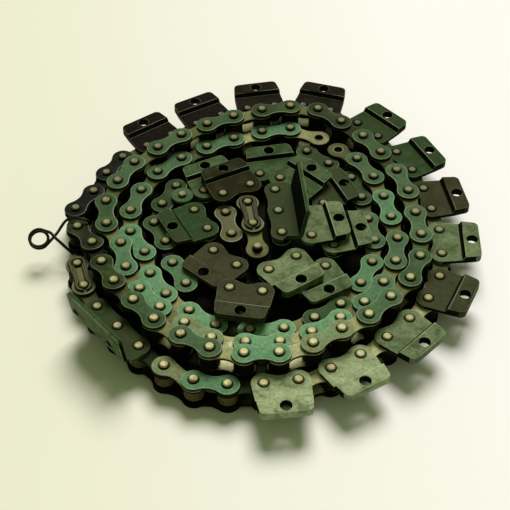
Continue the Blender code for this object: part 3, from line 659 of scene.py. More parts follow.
class BentPlate:
    """A bent plate with pin rings in its flat and round holes in its strip.

    flush keeps the underside flat, and the last argument is added to the tone of the underside;
    on brackets it paints the outer face of the leaf lighter as painted light.
    """

    def __init__(self, form, thickness, height, flush=False, underside_light_tone=0.0):
        self.part = Part()
        self.form = form
        self.thickness = thickness
        self.placement = Matrix.Translation((0, 0, height))
        self.flush = flush
        self.underside_light_tone = underside_light_tone

    def vertex(self, x, s, depth, grime_and_shade=0.0):
        below = depth == self.thickness
        if self.flush and below:
            point = Vector((x, s, -depth))
        else:
            point = self.form.place(x, s, depth)
        return self.part.vertex(self.placement @ point, grime_and_shade, self.underside_light_tone if below else 0.0)

    def circle(self, x, s, radius, depth, grime_and_shade=0.0):
        return [self.vertex(cx, cs, depth, grime_and_shade)
                for cx, cs in circle((x, s), radius, HOLE_SIDES)]

    def outlines(self, depth, flat, half_width, strip):
        """The loops of one surface: its flat, the rows of its bend, its strip."""
        flat_loop = [self.vertex(x, s, depth) for x, s in flat]
        rows = []
        for row in self.form.rows:
            left, right = half_width(row[0])
            rows.append([self.vertex(left + (right - left) * i / BEND_COLUMNS, row[0], depth)
                         for i in range(BEND_COLUMNS + 1)])
        return flat_loop, rows, [self.vertex(x, s, depth) for x, s in strip]

    def pin_rings(self, x):
        """The stamped rings round a pin; gives the outermost and the innermost."""
        rings = [self.circle(x, 0, radius, sink, grime_and_shade)
                 for radius, sink, grime_and_shade in reversed(PIN_RINGS)]
        for wider, narrower in zip(rings, rings[1:]):
            self.part.band(wider, narrower, LUG)
        return rings[0], rings[-1]

    def fill(self, outlines, pin_loops, bend_materials):
        flat_loop, rows, _ = outlines
        self.part.region([rows[0] + flat_loop] + pin_loops, LUG)
        for row, following, material in zip(rows, rows[1:], bend_materials):
            self.part.band(row, following, material, closed=False)

    def fill_strip(self, outlines, hole_loops, material):
        _, rows, strip_loop = outlines
        self.part.region([rows[-1][::-1] + strip_loop[::-1]] + hole_loops, material)

    def borders(self, outlines):
        """Right side, end of the strip, left side and pin side of a surface."""
        flat_loop, rows, strip_loop = outlines
        right = [row[-1] for row in rows]
        left = [row[0] for row in reversed(rows)]
        return ([flat_loop[0]] + right + [strip_loop[0]], strip_loop,
                [strip_loop[-1]] + left + [flat_loop[-1]], flat_loop[::-1])

    def make(self, pins, flat, half_width, strip, holes, bend_materials, strip_material,
             end_materials):
        """Both surfaces, their holes and the edges between them.

        flat and strip are open outlines in plan, from right to left, and half_width
        gives the two ends of a row of the bend.
        """
        upper = self.outlines(0.0, flat, half_width, strip)
        lower = self.outlines(self.thickness, flat, half_width, strip)
        rings = [self.pin_rings(x) for x in pins]
        self.fill(upper, [outermost for outermost, _ in rings], bend_materials)
        tops = [self.circle(x, s, radius, 0.0) for x, s, radius in holes]
        self.fill_strip(upper, tops, strip_material)
        feet = []
        for x, (_, innermost) in zip(pins, rings):
            feet.append(self.circle(x, 0, PIN_HOLE, self.thickness, 1.0))
            self.part.band(innermost, feet[-1], LUG)
        self.fill(lower, feet, [LUG] * len(bend_materials))
        bottoms = [self.circle(x, s, radius, self.thickness) for x, s, radius in holes]
        self.fill_strip(lower, bottoms, LUG)
        for top, bottom in zip(tops, bottoms):
            self.part.band(top, bottom, SHADED)
        ends = (end_materials[1], LUG, end_materials[0], LUG)
        for above, below, material in zip(self.borders(upper), self.borders(lower), ends):
            self.part.band(above, below, material, closed=False)
        return self.part


def pin_edge(pins, waist=PLATE_WAIST, radius=PLATE_RADIUS):
    """Lobes round the pins of a bent plate, from its right side to its left one."""
    made = []
    order = sorted(pins, reverse=True)
    for number, x in enumerate(order):
        first, last = number == 0, number == len(order) - 1
        gap = (x - order[number + 1]) if not last else (order[number - 1] - x)
        half = gap / 2
        bend = waist_bend(half, radius, waist)
        lean = math.degrees(math.atan2(waist + bend, half))
        start = 0 if first else -lean
        end = -180 if last else -180 + lean
        made += arc((x, 0), radius, start, end,
                    END_LOBE_POINTS if first or last else LOBE_POINTS)
        if not last:
            dip = arc((x - half, -waist - bend), bend, lean, 180 - lean, LOBE_POINTS)
            made += dip[1:-1]
    return made


def lug_part(gap, flush, highlight_bend):
    """A lug plate with its pins at -gap/2 and gap/2 and its strip towards +Y."""
    slope = (LUG_HALF_AT_PINS - LUG_HALF_AT_END) / LUG_OUTER_EDGE

    def half_width(s):
        reach = LUG_HALF_AT_PINS - slope * s
        return -reach, reach

    pins = (-gap / 2, gap / 2)
    reach = half_width(LUG_OUTER_EDGE)[1] - LUG_CORNER
    corner = arc((reach, LUG_OUTER_EDGE - LUG_CORNER), LUG_CORNER, 0, 90,
                 LUG_CORNER_POINTS)
    strip = corner + [(-x, y) for x, y in reversed(corner)]
    # The joggle is near black, dirt in the bend and painted shade; on some lugs its two edge
    # rows are lighter, wear and painted highlight
    bend_edge = LUG_RIM_HIGHLIGHT if highlight_bend else SHADED
    bend_materials = [bend_edge] + [SHADED] * (LUG_BEND_STEPS - 2) + [bend_edge]
    plate = BentPlate(step_form(), LUG_THICKNESS, OUTER_LOW + LUG_THICKNESS, flush)
    return plate.make(pins, pin_edge(pins), half_width, strip,
                      [(0, LUG_HOLE_CENTRE, LUG_HOLE_RADIUS)], bend_materials, LUG, (LUG, SHADED))


def lug_placement(start, end, side):
    """Placement of a lug centred between its pins; side +1 is left of start to end."""
    made = link_frame(start, end) if side > 0 else link_frame(end, start)
    made.translation = (start + end) / 2
    return made


def bracket_part(pins, holes, near_end, far_end, edge, rise, lean):
    """A three-pin bracket with a standing leaf, X along its pins from the nearest one."""
    degrees = 90 - math.degrees(math.atan2(lean, rise - LEAF_FOOT))
    slope = math.sin(math.radians(degrees))
    start = edge - (BEND_RADIUS + BRACKET_THICKNESS) * slope
    form = corner_form(start, BEND_RADIUS, degrees)
    bend_rise = BRACKET_THICKNESS + form.rows[-1][2]
    end = form.rows[-1][0] + (rise - bend_rise) / slope
    first, last = -near_end, pins[-1] + far_end
    flat = [(last, FAR_CORNER)] + pin_edge(pins, BRACKET_WAIST, BRACKET_LOBE)
    flat += [(x, start - back) for x, back in NEAR_CORNERS]
    top = end - LEAF_ROUNDING
    strip = arc((last - LEAF_ROUNDING, top), LEAF_ROUNDING, 0, 90, LEAF_CORNER_POINTS)
    strip += arc((first + LEAF_ROUNDING, top), LEAF_ROUNDING, 90, 180,
                 LEAF_CORNER_POINTS)
    hole_row = form.rows[-1][0] + BRACKET_HOLE_HEIGHT - bend_rise
    plate = BentPlate(form, BRACKET_THICKNESS, OUTER_LOW + BRACKET_THICKNESS,
                      underside_light_tone=BRACKET_UNDERSIDE_LIGHT)
    # The bend, the inner face of the leaf and one end edge are near black: painted shade
    return plate.make(pins, flat, lambda s: (first, last), strip,
                      [(x, hole_row, BRACKET_HOLE_RADIUS) for x in holes],
                      [LUG] + [SHADED] * (BRACKET_BEND_STEPS - 1), SHADED, (SHADED, LUG))


def clip_part(gap):
    """Spring clip: closed round the first pin, its two tips beyond the other."""
    outer = [(gap + x, y) for x, y in CLIP_TIP_OUTSIDE]
    outer += arc((0, 0), *CLIP_END_OUTSIDE)
    inner = arc((0, 0), *CLIP_END_INSIDE) + [CLIP_THROAT]
    inner += [(gap + x, y) for x, y in CLIP_NECK]
    inner += arc((gap, 0), *CLIP_GRIP)
    inner += [(gap + x, y) for x, y in CLIP_TIP_INSIDE]
    path = outer + [(x, -y) for x, y in reversed(outer[:-1])]
    path += [(x, -y) for x, y in reversed(inner[1:])] + inner
    part = Part()
    rows = [[part.vertex((x, y, z)) for x, y in path] for z in (CLIP_TOP, CLIP_LOW)]
    part.band(rows[0], rows[1], SHADED)
    part.region([rows[0]], CLIP)
    part.region([rows[1]], CLIP)
    return part


# Dressing of the nodes

def points_of(route):
    return [Vector(point) for point in route]


# Painted light: lighter towards the front and on the raised turns
def pin_tone_with_light(point):
    raised = point.z > RAISED_HEIGHT
    lift, lowest = (RAISED_LIGHT_LIFT, RAISED_LOWEST) if raised else (0.0, 0.0)
    return min(max(PIN_TONE - point.y / PIN_LIGHT_DEPTH + lift, lowest), 1.0)


def pin_foot(point):
    """Pins of a turn on the floor stop over its lower plates, others go through them."""
    on_floor = point.z < FLOOR_PIN_END + LEVEL_SLACK
    return CORE_TOP + CORE_GAP - point.z if on_floor else CHAIN_LOW + FOOT_GAP


@dataclass
class Stretch:
    """A run of chain: its pins, and the numbers of its particular links and pins."""

    pins: list
    is_outer: object
    tones: tuple
    bare: tuple = ()
    open_ends: tuple = ()
    clip_links: tuple = ()
    offset_link: int = -1
    lit_rollers: tuple = ()

    def link(self, part, i, halves=2, backwards=False):
        """Upper plate and, where it lies above the floor, lower plate of a link."""
        first, second = self.pins[i], self.pins[i + 1]
        outer = self.is_outer(i)
        if backwards:
            first, second = second, first
        place = link_frame(first, second)
        length = (second - first).length
        tone = self.tones[i]
        top_level = OUTER_TOP if outer else INNER_TOP
        if i == self.offset_link:
            part.add(offset_part(length), place @ Matrix.Translation((0, 0, OUTER_TOP)),
                     OFFSET_TONE)
        elif i not in self.bare:
            part.add(plate_part(length, outer, False, halves),
                     place @ Matrix.Translation((0, 0, top_level)), tone,
                     {PLATE: CLIP} if i in self.clip_links else None)
        low_level = LOWER_OUTER_TOP if outer else LOWER_INNER_TOP
        # The lower plate's tone is raised: painted light
        if min(first.z, second.z) + low_level - PLATE_THICKNESS > -LEVEL_SLACK:
            part.add(plate_part(length, outer, True, halves),
                     place @ Matrix.Translation((0, 0, low_level)), tone * LOWER_PAINTED_LIGHT)

    def dress(self, node, first, last, materials):
        """One node: its own links, and half of the link at each of its cuts."""
        part = Part()
        for i in range(first, last):
            self.link(part, i)
        if first > 0:
            self.link(part, first - 1, 1, True)
        if last < len(self.pins) - 1:
            self.link(part, last, 1)
        for i in range(first, last + 1):
            place = heading_frame(self.pins, i)
            low = pin_foot(self.pins[i])
            tone = pin_tone_with_light(self.pins[i])
            if i in self.open_ends:
                part.add(bush_part(INNER_TOP + BUSH_RISE, low), place, tone)
            else:
                part.add(pin_part(0.0, low), place, tone)
            # Painted light on the listed rollers, painted shade on the others
            roller_light_and_shade = LIT_ROLLER_TONE if i in self.lit_rollers else ROLLER_TONE
            part.add(roller_part(INNER_LOW - ROLLER_GAP, LOWER_INNER_TOP + ROLLER_GAP), place,
                     roller_light_and_shade)
        part.build(node + "_links", materials, node)


def dress_run(node, stretch, cuts, materials):
    first = 0
    for number, last in enumerate(tuple(cuts) + (len(stretch.pins) - 1,)):
        stretch.dress("{}_{:02d}".format(node, number + 1), first, last, materials)
        first = last + 1


def add_pins(part, pins, columns):
    """Pins through an outer plate and, on columns, the rollers down to the core."""
    for pin in pins:
        stand = Matrix.Translation(pin)
        if columns:
            roller = roller_part(INNER_LOW - ROLLER_GAP, CORE_TOP + CORE_GAP - pin.z)
            part.add(roller, stand, ROLLER_TONE)
        low = CORE_TOP - pin.z if columns else SHORT_PIN_END
        part.add(pin_part(0.0, low), stand, pin_tone_with_light(pin))


def dress_lug(node, start, end, side, tone, materials, columns=None):
    """A lug plate; columns is None when its pins belong to the run of chain."""
    part = Part()
    place = lug_placement(start, end, side)
    part.add(lug_part((end - start).length, node not in THIN_STRIPS, node in HIGHLIGHT_BENDS),
             place, tone)
    if columns is not None:
        add_pins(part, (start, end), columns)
    part.build(node + "_plate", materials, node, LUG_BEVEL)


def dress_bracket(node, pins, sizes, holes, tone, materials, with_pins):
    place = link_frame(pins[2], pins[0])
    local = [(place.inverted() @ pin).x for pin in pins]
    part = Part()
    part.add(bracket_part(sorted(local), holes, **sizes), place, tone)
    if with_pins:
        add_pins(part, pins, True)
    part.build(node + "_plate", materials, node, BRACKET_BEVEL)


def dress_clip(node, start, end, tone, materials):
    part = Part()
    part.add(clip_part((end - start).length), link_frame(start, end), tone)
    part.build(node + "_spring", materials, node, CLIP_BEVEL, SHADED)


def dress_loose_end(materials):
    """The end of a link that lies in the middle, its plate round one pin."""
    point = Vector(LOOSE_END_PIN)
    part = Part()
    plate = revolve([(radius, -depth) for radius, depth in LOOSE_END_PROFILE], LOOSE_END_SIDES,
                    PLATE)
    part.add(plate, Matrix.Translation(point + Vector((0, 0, OUTER_TOP))), LOOSE_END_TONE)
    part.add(pin_part(0.0, OUTER_LOW - PLATE_GAP), Matrix.Translation(point), LOOSE_PIN_TONE)
    part.build("middle_loose_end_link", materials, "middle_loose_end")


def wire_knots():
    """Points of the tie wire: two turns of an eye between its two legs."""
    tilt = math.radians(EYE_TILT)
    axis = Vector((0, -math.cos(tilt), math.sin(tilt)))
    across = Vector((1, 0, 0))
    upward = axis.cross(across)
    eye = []
    for i in range(EYE_STEPS + 1):
        share = i / EYE_STEPS
        angle = math.radians(EYE_START + EYE_SWEEP * share)
        around = (across * math.cos(angle) + upward * math.sin(angle)) * EYE_RADIUS
        eye.append(Vector(EYE_CENTRE) + around + axis * EYE_RISE * (2 * share - 1))
    return points_of(WIRE_OVER) + eye + points_of(WIRE_INTO)


def smooth_line(knots):
    """A Catmull-Rom curve through the knots."""
    line = []
    for i in range(len(knots) - 1):
        before, after = knots[max(i - 1, 0)], knots[min(i + 2, len(knots) - 1)]
        a, b = knots[i], knots[i + 1]
        for step in range(WIRE_STEPS):
            t = step / WIRE_STEPS
            line.append(0.5 * ((2 * a) + (b - before) * t
                               + (2 * before - 5 * a + 4 * b - after) * t * t
                               + (3 * a - before - 3 * b + after) * t * t * t))
    return line + [knots[-1]]


def dress_wire(materials):
    """The tie wire: a smooth round tube through the points of its line."""
    line = smooth_line(wire_knots())
    part = Part()
    rings = []
    side = None
    for i, point in enumerate(line):
        along = (line[min(i + 1, len(line) - 1)] - line[max(i - 1, 0)]).normalized()
        side = along.orthogonal() if side is None else side
        side = (side - along * side.dot(along)).normalized()
        other = along.cross(side)
        rings.append([part.vertex(point + WIRE_RADIUS * (side * x + other * y))
                      for x, y in circle((0, 0), 1.0, WIRE_SIDES)])
    for ring, following in zip(rings, rings[1:]):
        part.band(ring, following, WIRE)
    part.face(rings[0], WIRE)
    part.face(rings[-1], WIRE)
    part.build("tie_wire_strand", materials, "tie_wire")


# Materials; colours are linear red, green and blue

# Near black painted round pins and under plates: grime and painted shade
GRIME_AND_SHADE_COLOUR = (0.004, 0.004, 0.002)
GRIME_AND_SHADE_TO, THIN_GRIME_AND_SHADE = 0.6, 0.85
# Noises: scale, detail, roughness and distortion
BROAD_NOISE = (95.0, 3.0, 0.6, 0.4)
FINE_NOISE = (520.0, 4.0, 0.65)
SPECK_NOISE = (1500.0, 2.0, 0.5)
NOISE_LOW, NOISE_HIGH = 0.3, 0.7
MOTTLE_FROM, MOTTLE_TO, MOTTLE = 0.35, 0.65, 0.05
PATINA_FROM, PATINA_TO = 0.52, 0.66
DARK_SHADE, LIGHT_SHADE = 0.68, 1.25
PIT_FROM, PIT_TO, PIT_SHADE = 0.27, 0.36, 0.5
SMOOTHER, ROUGHER = 0.08, 0.12
SPECK_HEIGHT = 0.4
GRAIN_DEPTH = 0.0002
# The core is painted near black: painted shade in the gaps between the turns
CORE_COLOURS = ((0.3, (0.004, 0.004, 0.002)), (0.7, (0.014, 0.014, 0.008)))
CORE_NOISE_SCALE = 300.0
CORE_ROUGHNESS = 0.7
CORE_ROUGHER = 0.1
CORE_SPECULAR = 0.03
CORE_GRIT = 0.3
CORE_GRAIN_DEPTH = 0.0005


class Shader:
    """Small helper that builds one node material."""

    def __init__(self, name, metallic, roughness):
        self.material = bpy.data.materials.new(name)
        self.material.use_nodes = True
        self.tree = self.material.node_tree
        self.surface = self.tree.nodes["Principled BSDF"]
        self.surface.inputs["Metallic"].default_value = metallic
        self.surface.inputs["Roughness"].default_value = roughness
        coordinates = self.tree.nodes.new("ShaderNodeTexCoord")
        self.where = coordinates.outputs["Object"]

    def connect(self, source, target):
        if isinstance(source, bpy.types.NodeSocket):
            self.tree.links.new(source, target)
        else:
            target.default_value = source

    def noise(self, scale, detail=3.0, roughness=0.55, distortion=0.0):
        node = self.tree.nodes.new("ShaderNodeTexNoise")
        self.tree.links.new(self.where, node.inputs["Vector"])
        node.inputs["Scale"].default_value = scale
        node.inputs["Detail"].default_value = detail
        node.inputs["Roughness"].default_value = roughness
        node.inputs["Distortion"].default_value = distortion
        return node.outputs["Fac"]

    def attribute(self, name):
        node = self.tree.nodes.new("ShaderNodeAttribute")
        node.attribute_name = name
        return node.outputs["Fac"]

    def spread(self, value, low, high, new_low=0.0, new_high=1.0):
        """Stretch the range low to high over another one, and clamp to it."""
        node = self.tree.nodes.new("ShaderNodeMapRange")
        self.connect(value, node.inputs["Value"])
        for title, number in (("From Min", low), ("From Max", high),
                              ("To Min", new_low), ("To Max", new_high)):
            node.inputs[title].default_value = number
        return node.outputs["Result"]

    def maths(self, operation, first, second):
        node = self.tree.nodes.new("ShaderNodeMath")
        node.operation = operation
        self.connect(first, node.inputs[0])
        self.connect(second, node.inputs[1])
        return node.outputs[0]

    def mix(self, share, first, second, blend="MIX"):
        """Mix two colours; sockets 6 and 7 and output 2 of the node are its colours."""
        node = self.tree.nodes.new("ShaderNodeMix")
        node.data_type = "RGBA"
        node.blend_type = blend
        self.connect(share, node.inputs[0])
        for colour, socket in ((first, node.inputs[6]), (second, node.inputs[7])):
            linked = isinstance(colour, bpy.types.NodeSocket)
            self.connect(colour if linked else (*colour, 1.0), socket)
        return node.outputs[2]

    def ramp(self, value, stops):
        node = self.tree.nodes.new("ShaderNodeValToRGB")
        self.connect(value, node.inputs["Fac"])
        elements = node.color_ramp.elements
        while len(elements) < len(stops):
            elements.new(0.5)
        for element, (position, colour) in zip(elements, stops):
            element.position = position
            element.color = (*colour, 1.0)
        return node.outputs["Color"]

    def bump(self, height, strength, distance):
        node = self.tree.nodes.new("ShaderNodeBump")
        node.inputs["Strength"].default_value = strength
        node.inputs["Distance"].default_value = distance
        self.connect(height, node.inputs["Height"])
        self.tree.links.new(node.outputs["Normal"], self.surface.inputs["Normal"])

    def finish(self, colour, roughness, specular=None):
        self.connect(colour, self.surface.inputs["Base Color"])
        self.connect(roughness, self.surface.inputs["Roughness"])
        if specular is not None:
            self.surface.inputs["Specular IOR Level"].default_value = specular
        return self.material


def worn_steel(name, stops, patina, patina_share, roughness, specular, metallic=0.0, grit=0.25,
               patina_tones=(0.0, 0.3)):
    """Oiled, oxidised steel: its tone comes from each part, with mottling, and near-black marks
    from each part's mask of grime and painted shade round pins and under plates.
    """
    shader = Shader(name, metallic, roughness)
    broad = shader.noise(*BROAD_NOISE)
    fine = shader.noise(*FINE_NOISE)
    speck = shader.noise(*SPECK_NOISE)
    shift = shader.spread(broad, MOTTLE_FROM, MOTTLE_TO, -MOTTLE, MOTTLE)
    tone = shader.maths("ADD", shader.attribute("tone"), shift)
    colour = shader.ramp(tone, stops)
    patches = shader.spread(broad, PATINA_FROM, PATINA_TO, 0.0, patina_share)
    share = shader.maths("MULTIPLY", patches, shader.spread(tone, *patina_tones))
    colour = shader.mix(share, colour, patina)
    shade = shader.spread(fine, NOISE_LOW, NOISE_HIGH, DARK_SHADE, LIGHT_SHADE)
    colour = shader.mix(1.0, colour, shade, "MULTIPLY")
    pits = shader.spread(speck, PIT_FROM, PIT_TO, PIT_SHADE, 1.0)
    colour = shader.mix(1.0, colour, pits, "MULTIPLY")
    # Darken towards near black by the part's mask: grime and painted shade
    grime_and_shade = shader.maths("MULTIPLY", shader.attribute("grime_and_shade"),
                         shader.spread(fine, NOISE_LOW, GRIME_AND_SHADE_TO, THIN_GRIME_AND_SHADE, 1.0))
    colour = shader.mix(grime_and_shade, colour, GRIME_AND_SHADE_COLOUR)
    rough = shader.spread(fine, NOISE_LOW, NOISE_HIGH, roughness - SMOOTHER,
                          roughness + ROUGHER)
    grain = shader.maths("ADD", fine, shader.maths("MULTIPLY", speck, SPECK_HEIGHT))
    shader.bump(grain, grit, GRAIN_DEPTH)
    return shader.finish(colour, rough, specular)


def plate_steel():
    """Outer plates: black, greens, teals, pale olive and cream."""
    stops = (
        (0.0, (0.001, 0.002, 0.001)), (0.15, (0.024, 0.034, 0.008)),
        (0.3, (0.034, 0.068, 0.026)), (0.45, (0.062, 0.110, 0.056)),
        (0.6, (0.090, 0.205, 0.110)), (0.75, (0.145, 0.300, 0.170)),
        (0.88, (0.180, 0.205, 0.100)), (1.0, (0.45, 0.43, 0.25)))
    return worn_steel("plate_patina", stops, patina=(0.07, 0.105, 0.035), patina_share=0.35,
                      roughness=0.58, specular=0.05)


def inner_steel():
    """Inner plates: black to cream."""
    stops = (
        (0.0, (0.001, 0.002, 0.001)), (0.2, (0.024, 0.032, 0.008)),
        (0.4, (0.088, 0.100, 0.036)), (0.6, (0.175, 0.185, 0.080)),
        (0.8, (0.35, 0.34, 0.175)), (1.0, (0.60, 0.58, 0.34)))
    return worn_steel("inner_plate_steel", stops, patina=(0.09, 0.070, 0.022), patina_share=0.5,
                      roughness=0.58, specular=0.05)


def pin_steel():
    stops = (
        (0.0, (0.010, 0.009, 0.002)), (0.3, (0.105, 0.108, 0.032)),
        (0.6, (0.23, 0.215, 0.085)), (1.0, (0.60, 0.55, 0.28)))
    return worn_steel("pin_steel", stops, patina=(0.19, 0.120, 0.036), patina_share=0.8,
                      roughness=0.42, specular=0.2)


def roller_steel():
    stops = ((0.2, (0.006, 0.006, 0.002)), (1.0, (0.24, 0.20, 0.085)))
    return worn_steel("roller_steel", stops, patina=(0.02, 0.018, 0.006), patina_share=0.5,
                      roughness=0.6, specular=0.05)


def edge_steel():
    """Sides, undersides, hole walls and bends of plates, nearly black as painted shade."""
    stops = ((0.0, (0.003, 0.004, 0.001)), (1.0, (0.006, 0.008, 0.003)))
    return worn_steel("plate_side_shade_steel", stops, patina=(0.010, 0.012, 0.004), patina_share=0.5,
                      roughness=0.7, specular=0.03)


def lug_steel():
    """Lug plates and brackets: pale, greens, grey, brown and black."""
    stops = (
        (0.0, (0.35, 0.40, 0.24)), (0.2, (0.180, 0.218, 0.122)),
        (0.35, (0.072, 0.108, 0.050)), (0.5, (0.020, 0.048, 0.014)),
        (0.65, (0.048, 0.047, 0.024)), (0.8, (0.015, 0.013, 0.002)),
        (0.95, (0.004, 0.001, 0.0)))
    return worn_steel("lug_plate_steel", stops, patina=(0.03, 0.045, 0.010), patina_share=0.4,
                      roughness=0.6, specular=0.03, grit=0.35, patina_tones=(0.9, 0.7))


def lug_rim_steel():
    """Brighter edges of lug plates: partly wear, partly painted highlight."""
    stops = (
        (0.0, (0.42, 0.48, 0.29)), (0.3, (0.23, 0.30, 0.16)), (0.6, (0.12, 0.15, 0.08)),
        (0.95, (0.10, 0.09, 0.055)))
    return worn_steel("lug_edge_wear_and_highlight_steel", stops, patina=(0.10, 0.12, 0.045), patina_share=0.5,
                      roughness=0.4, specular=0.25, grit=0.1)


def rim_steel():
    """Brighter edges of outer plates: partly wear, partly painted highlight."""
    stops = (
        (0.0, (0.03, 0.04, 0.018)), (0.3, (0.115, 0.165, 0.085)),
        (0.75, (0.26, 0.40, 0.25)), (0.95, (0.18, 0.17, 0.09)))
    return worn_steel("worn_edge_and_highlight_steel", stops, patina=(0.12, 0.14, 0.055), patina_share=0.6,
                      roughness=0.4, specular=0.25, grit=0.1)


def clip_steel():
    stops = ((0.0, (0.016, 0.018, 0.007)), (1.0, (0.115, 0.112, 0.048)))
    return worn_steel("clip_steel", stops, patina=(0.03, 0.028, 0.010), patina_share=0.5,
                      roughness=0.45, specular=0.05)


def wire_steel():
    stops = ((0.0, (0.008, 0.009, 0.004)), (1.0, (0.022, 0.023, 0.010)))
    return worn_steel("wire_steel", stops, patina=(0.035, 0.033, 0.014), patina_share=0.4,
                      roughness=0.4, specular=0.2, metallic=0.3, grit=0.1)


def make_materials():
    """All steels, in the order of the material numbers."""
    return [plate_steel(), inner_steel(), pin_steel(), roller_steel(), edge_steel(), lug_steel(),
            rim_steel(), clip_steel(), wire_steel(), lug_rim_steel()]


def dark_core_material():
    shader = Shader("core_shadow_steel", 0.0, CORE_ROUGHNESS)
    fine = shader.noise(CORE_NOISE_SCALE)
    colour = shader.ramp(fine, CORE_COLOURS)
    shader.bump(fine, CORE_GRIT, CORE_GRAIN_DEPTH)
    rough = shader.spread(fine, NOISE_LOW, NOISE_HIGH, CORE_ROUGHNESS - CORE_ROUGHER,
                          CORE_ROUGHNESS + CORE_ROUGHER)
    return shader.finish(colour, rough, CORE_SPECULAR)


# Stage, in metres

FLOOR_RADIUS = 20.0
FLOOR_SIDES = 64
FLOOR_ROUGHNESS = 0.9
# Painted light: the floor is lighter to the right
FLOOR_LEFT = (0.769, 0.740, 0.690)
FLOOR_RIGHT = (0.90, 0.855, 0.97)
FLOOR_FROM, FLOOR_TO = -0.14, 0.15
FLOOR_SLANT = 0.15
ROOM_COLOUR = (0.80, 1.0, 0.45)
ROOM_STRENGTH = 0.25
SUN_COLOUR = (1.0, 0.985, 0.87)
SUN_STRENGTH = 3.62
SUN_WIDTH = 32
SUN_DIRECTION = (0.12, 0.80, 1.0)
CAMERA_ELEVATION = 44.72
CAMERA_DISTANCE = 0.7506
CAMERA_TARGET = (0.0, -0.020, 0.0179)
CAMERA_LENS = 90.18
CAMERA_SENSOR = 36.0
CAMERA_SHIFT = -0.002
CAMERA_NEAR, CAMERA_FAR = 0.05, 50.0


def make_floor():
    """A plain pale floor, painted lighter to the right as painted light."""
    data = bmesh.new()
    bmesh.ops.create_circle(data, cap_ends=True, segments=FLOOR_SIDES,
                            radius=FLOOR_RADIUS)
    mesh = bpy.data.meshes.new("floor")
    data.to_mesh(mesh)
    data.free()
    floor = add_object("floor", mesh)
    shader = Shader("floor_paper", 0.0, FLOOR_ROUGHNESS)
    place = shader.tree.nodes.new("ShaderNodeSeparateXYZ")
    shader.tree.links.new(shader.where, place.inputs["Vector"])
    slant = shader.maths("MULTIPLY", place.outputs["Y"], FLOOR_SLANT)
    across = shader.maths("ADD", place.outputs["X"], slant)
    colour = shader.mix(shader.spread(across, FLOOR_FROM, FLOOR_TO), FLOOR_LEFT, FLOOR_RIGHT)
    mesh.materials.append(shader.finish(colour, FLOOR_ROUGHNESS))
    floor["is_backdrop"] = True


def make_light():
    """A soft room and one wide light from above and behind."""
    world = bpy.data.worlds.new("soft_room")
    bpy.context.scene.world = world
    world.use_nodes = True
    background = world.node_tree.nodes["Background"]
    background.inputs["Color"].default_value = (*ROOM_COLOUR, 1.0)
    background.inputs["Strength"].default_value = ROOM_STRENGTH
    lamp = bpy.data.lights.new("overhead", "SUN")
    lamp.energy = SUN_STRENGTH
    lamp.angle = math.radians(SUN_WIDTH)
    lamp.color = SUN_COLOUR
    light = add_object("overhead", lamp)
    light.rotation_mode = "QUATERNION"
    light.rotation_quaternion = Vector(SUN_DIRECTION).to_track_quat("Z", "Y")


def make_camera():
    """The camera of the reference picture, recovered from the pin ends."""
    elevation = math.radians(CAMERA_ELEVATION)
    data = bpy.data.cameras.new("camera")
    data.lens = CAMERA_LENS
    data.sensor_width = CAMERA_SENSOR
    data.shift_y = CAMERA_SHIFT
    data.clip_start = CAMERA_NEAR
    data.clip_end = CAMERA_FAR
    camera = add_object("camera", data)
    back = Vector((0.0, -math.cos(elevation), math.sin(elevation)))
    camera.location = Vector(CAMERA_TARGET) + back * CAMERA_DISTANCE
    camera.rotation_mode = "QUATERNION"
    camera.rotation_quaternion = (-back).to_track_quat("-Z", "Y")
    bpy.context.scene.camera = camera


# Assembly

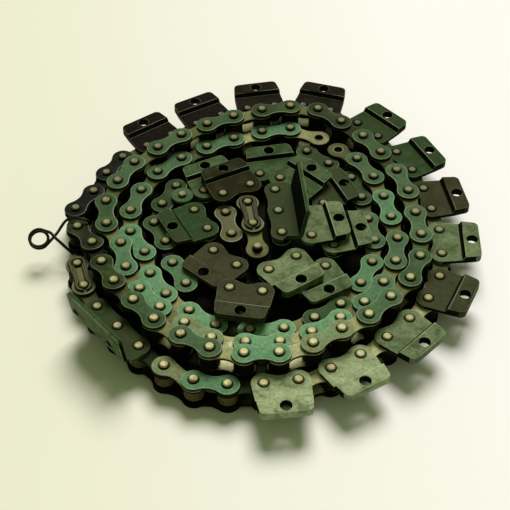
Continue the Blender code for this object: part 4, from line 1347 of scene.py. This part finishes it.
def dress_main_run(materials):
    """The outer, second and third turn, with their lug plates, bracket and clip."""
    pins = points_of(OUTER_TURN + UPPER_TURN + THIRD_TURN)
    lugs = list(range(FIRST_LUG, LAST_LUG + 1, 2))
    bare = tuple(lugs) + (BRACKET_LINK, BRACKET_LINK + 1)

    def is_outer(i):
        if i in (BRACKET_LINK + 1, OFFSET_LINK):
            return True
        return i % 2 == 0 and i != OFFSET_LINK - 1

    stretch = Stretch(pins, is_outer, MAIN_TONES, bare, open_ends=(len(pins) - 1,),
                      clip_links=(0,), offset_link=OFFSET_LINK, lit_rollers=LIT_ROLLERS)
    dress_run("chain_run", stretch, MAIN_CUTS, materials)
    for number, i in enumerate(lugs):
        dress_lug("lug_plate_{:02d}".format(number + 1), pins[i], pins[i + 1], -1,
                  LUG_TONES[number], materials)
    dress_bracket("corner_bracket", pins[BRACKET_LINK:BRACKET_LINK + 3], CORNER_BRACKET,
                  BRACKET_HOLES, CORNER_BRACKET_TONE, materials, False)
    dress_clip("spring_clip", pins[0], pins[1], SPRING_CLIP_TONE, materials)


def dress_inner_runs(materials):
    stretch = Stretch(points_of(INNER_TURN), lambda i: i % 2 == 1, INNER_TONES,
                      open_ends=(0,))
    dress_run("inner_run", stretch, INNER_CUTS, materials)
    stretch = Stretch(points_of(MIDDLE_TURN), lambda i: i % 2 == 0, MIDDLE_TONES)
    dress_run("middle_run", stretch, (), materials)


def dress_middle(materials):
    """The short lengths of chain in the middle of the coil."""
    for node, (start, end, side, columns, tone) in MIDDLE_LUGS.items():
        dress_lug(node, Vector(start), Vector(end), side, tone, materials,
                  columns)
    dress_bracket("middle_bracket", points_of(MIDDLE_BRACKET_PINS), MIDDLE_BRACKET, (),
                  MIDDLE_BRACKET_TONE, materials, True)
    pins = points_of(CLIP_LINK_PINS)
    stretch = Stretch(pins, lambda i: i == 0, CLIP_LINK_TONES, clip_links=(0,))
    stretch.dress("middle_clip_link", 0, 2, materials)
    dress_clip("middle_clip", pins[0], pins[1], MIDDLE_CLIP_TONE, materials)
    stretch = Stretch(points_of(PLAIN_LINK_PINS), lambda i: True, (PLAIN_LINK_TONE,),
                      clip_links=(0,))
    stretch.dress("middle_plain_link", 0, 1, materials)
    dress_loose_end(materials)


steels = make_materials()
dress_main_run(steels)
dress_inner_runs(steels)
dress_middle(steels)
dress_wire(steels)
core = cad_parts["plain_core"]
core.data.materials.clear()
core.data.materials.append(dark_core_material())
make_floor()
make_light()
make_camera()
bpy.context.scene.view_settings.view_transform = "Standard"

boxes = {"cad": CAD_BOX, "visual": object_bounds()}
{name: [list(low), list(high)] for name, (low, high) in boxes.items()}
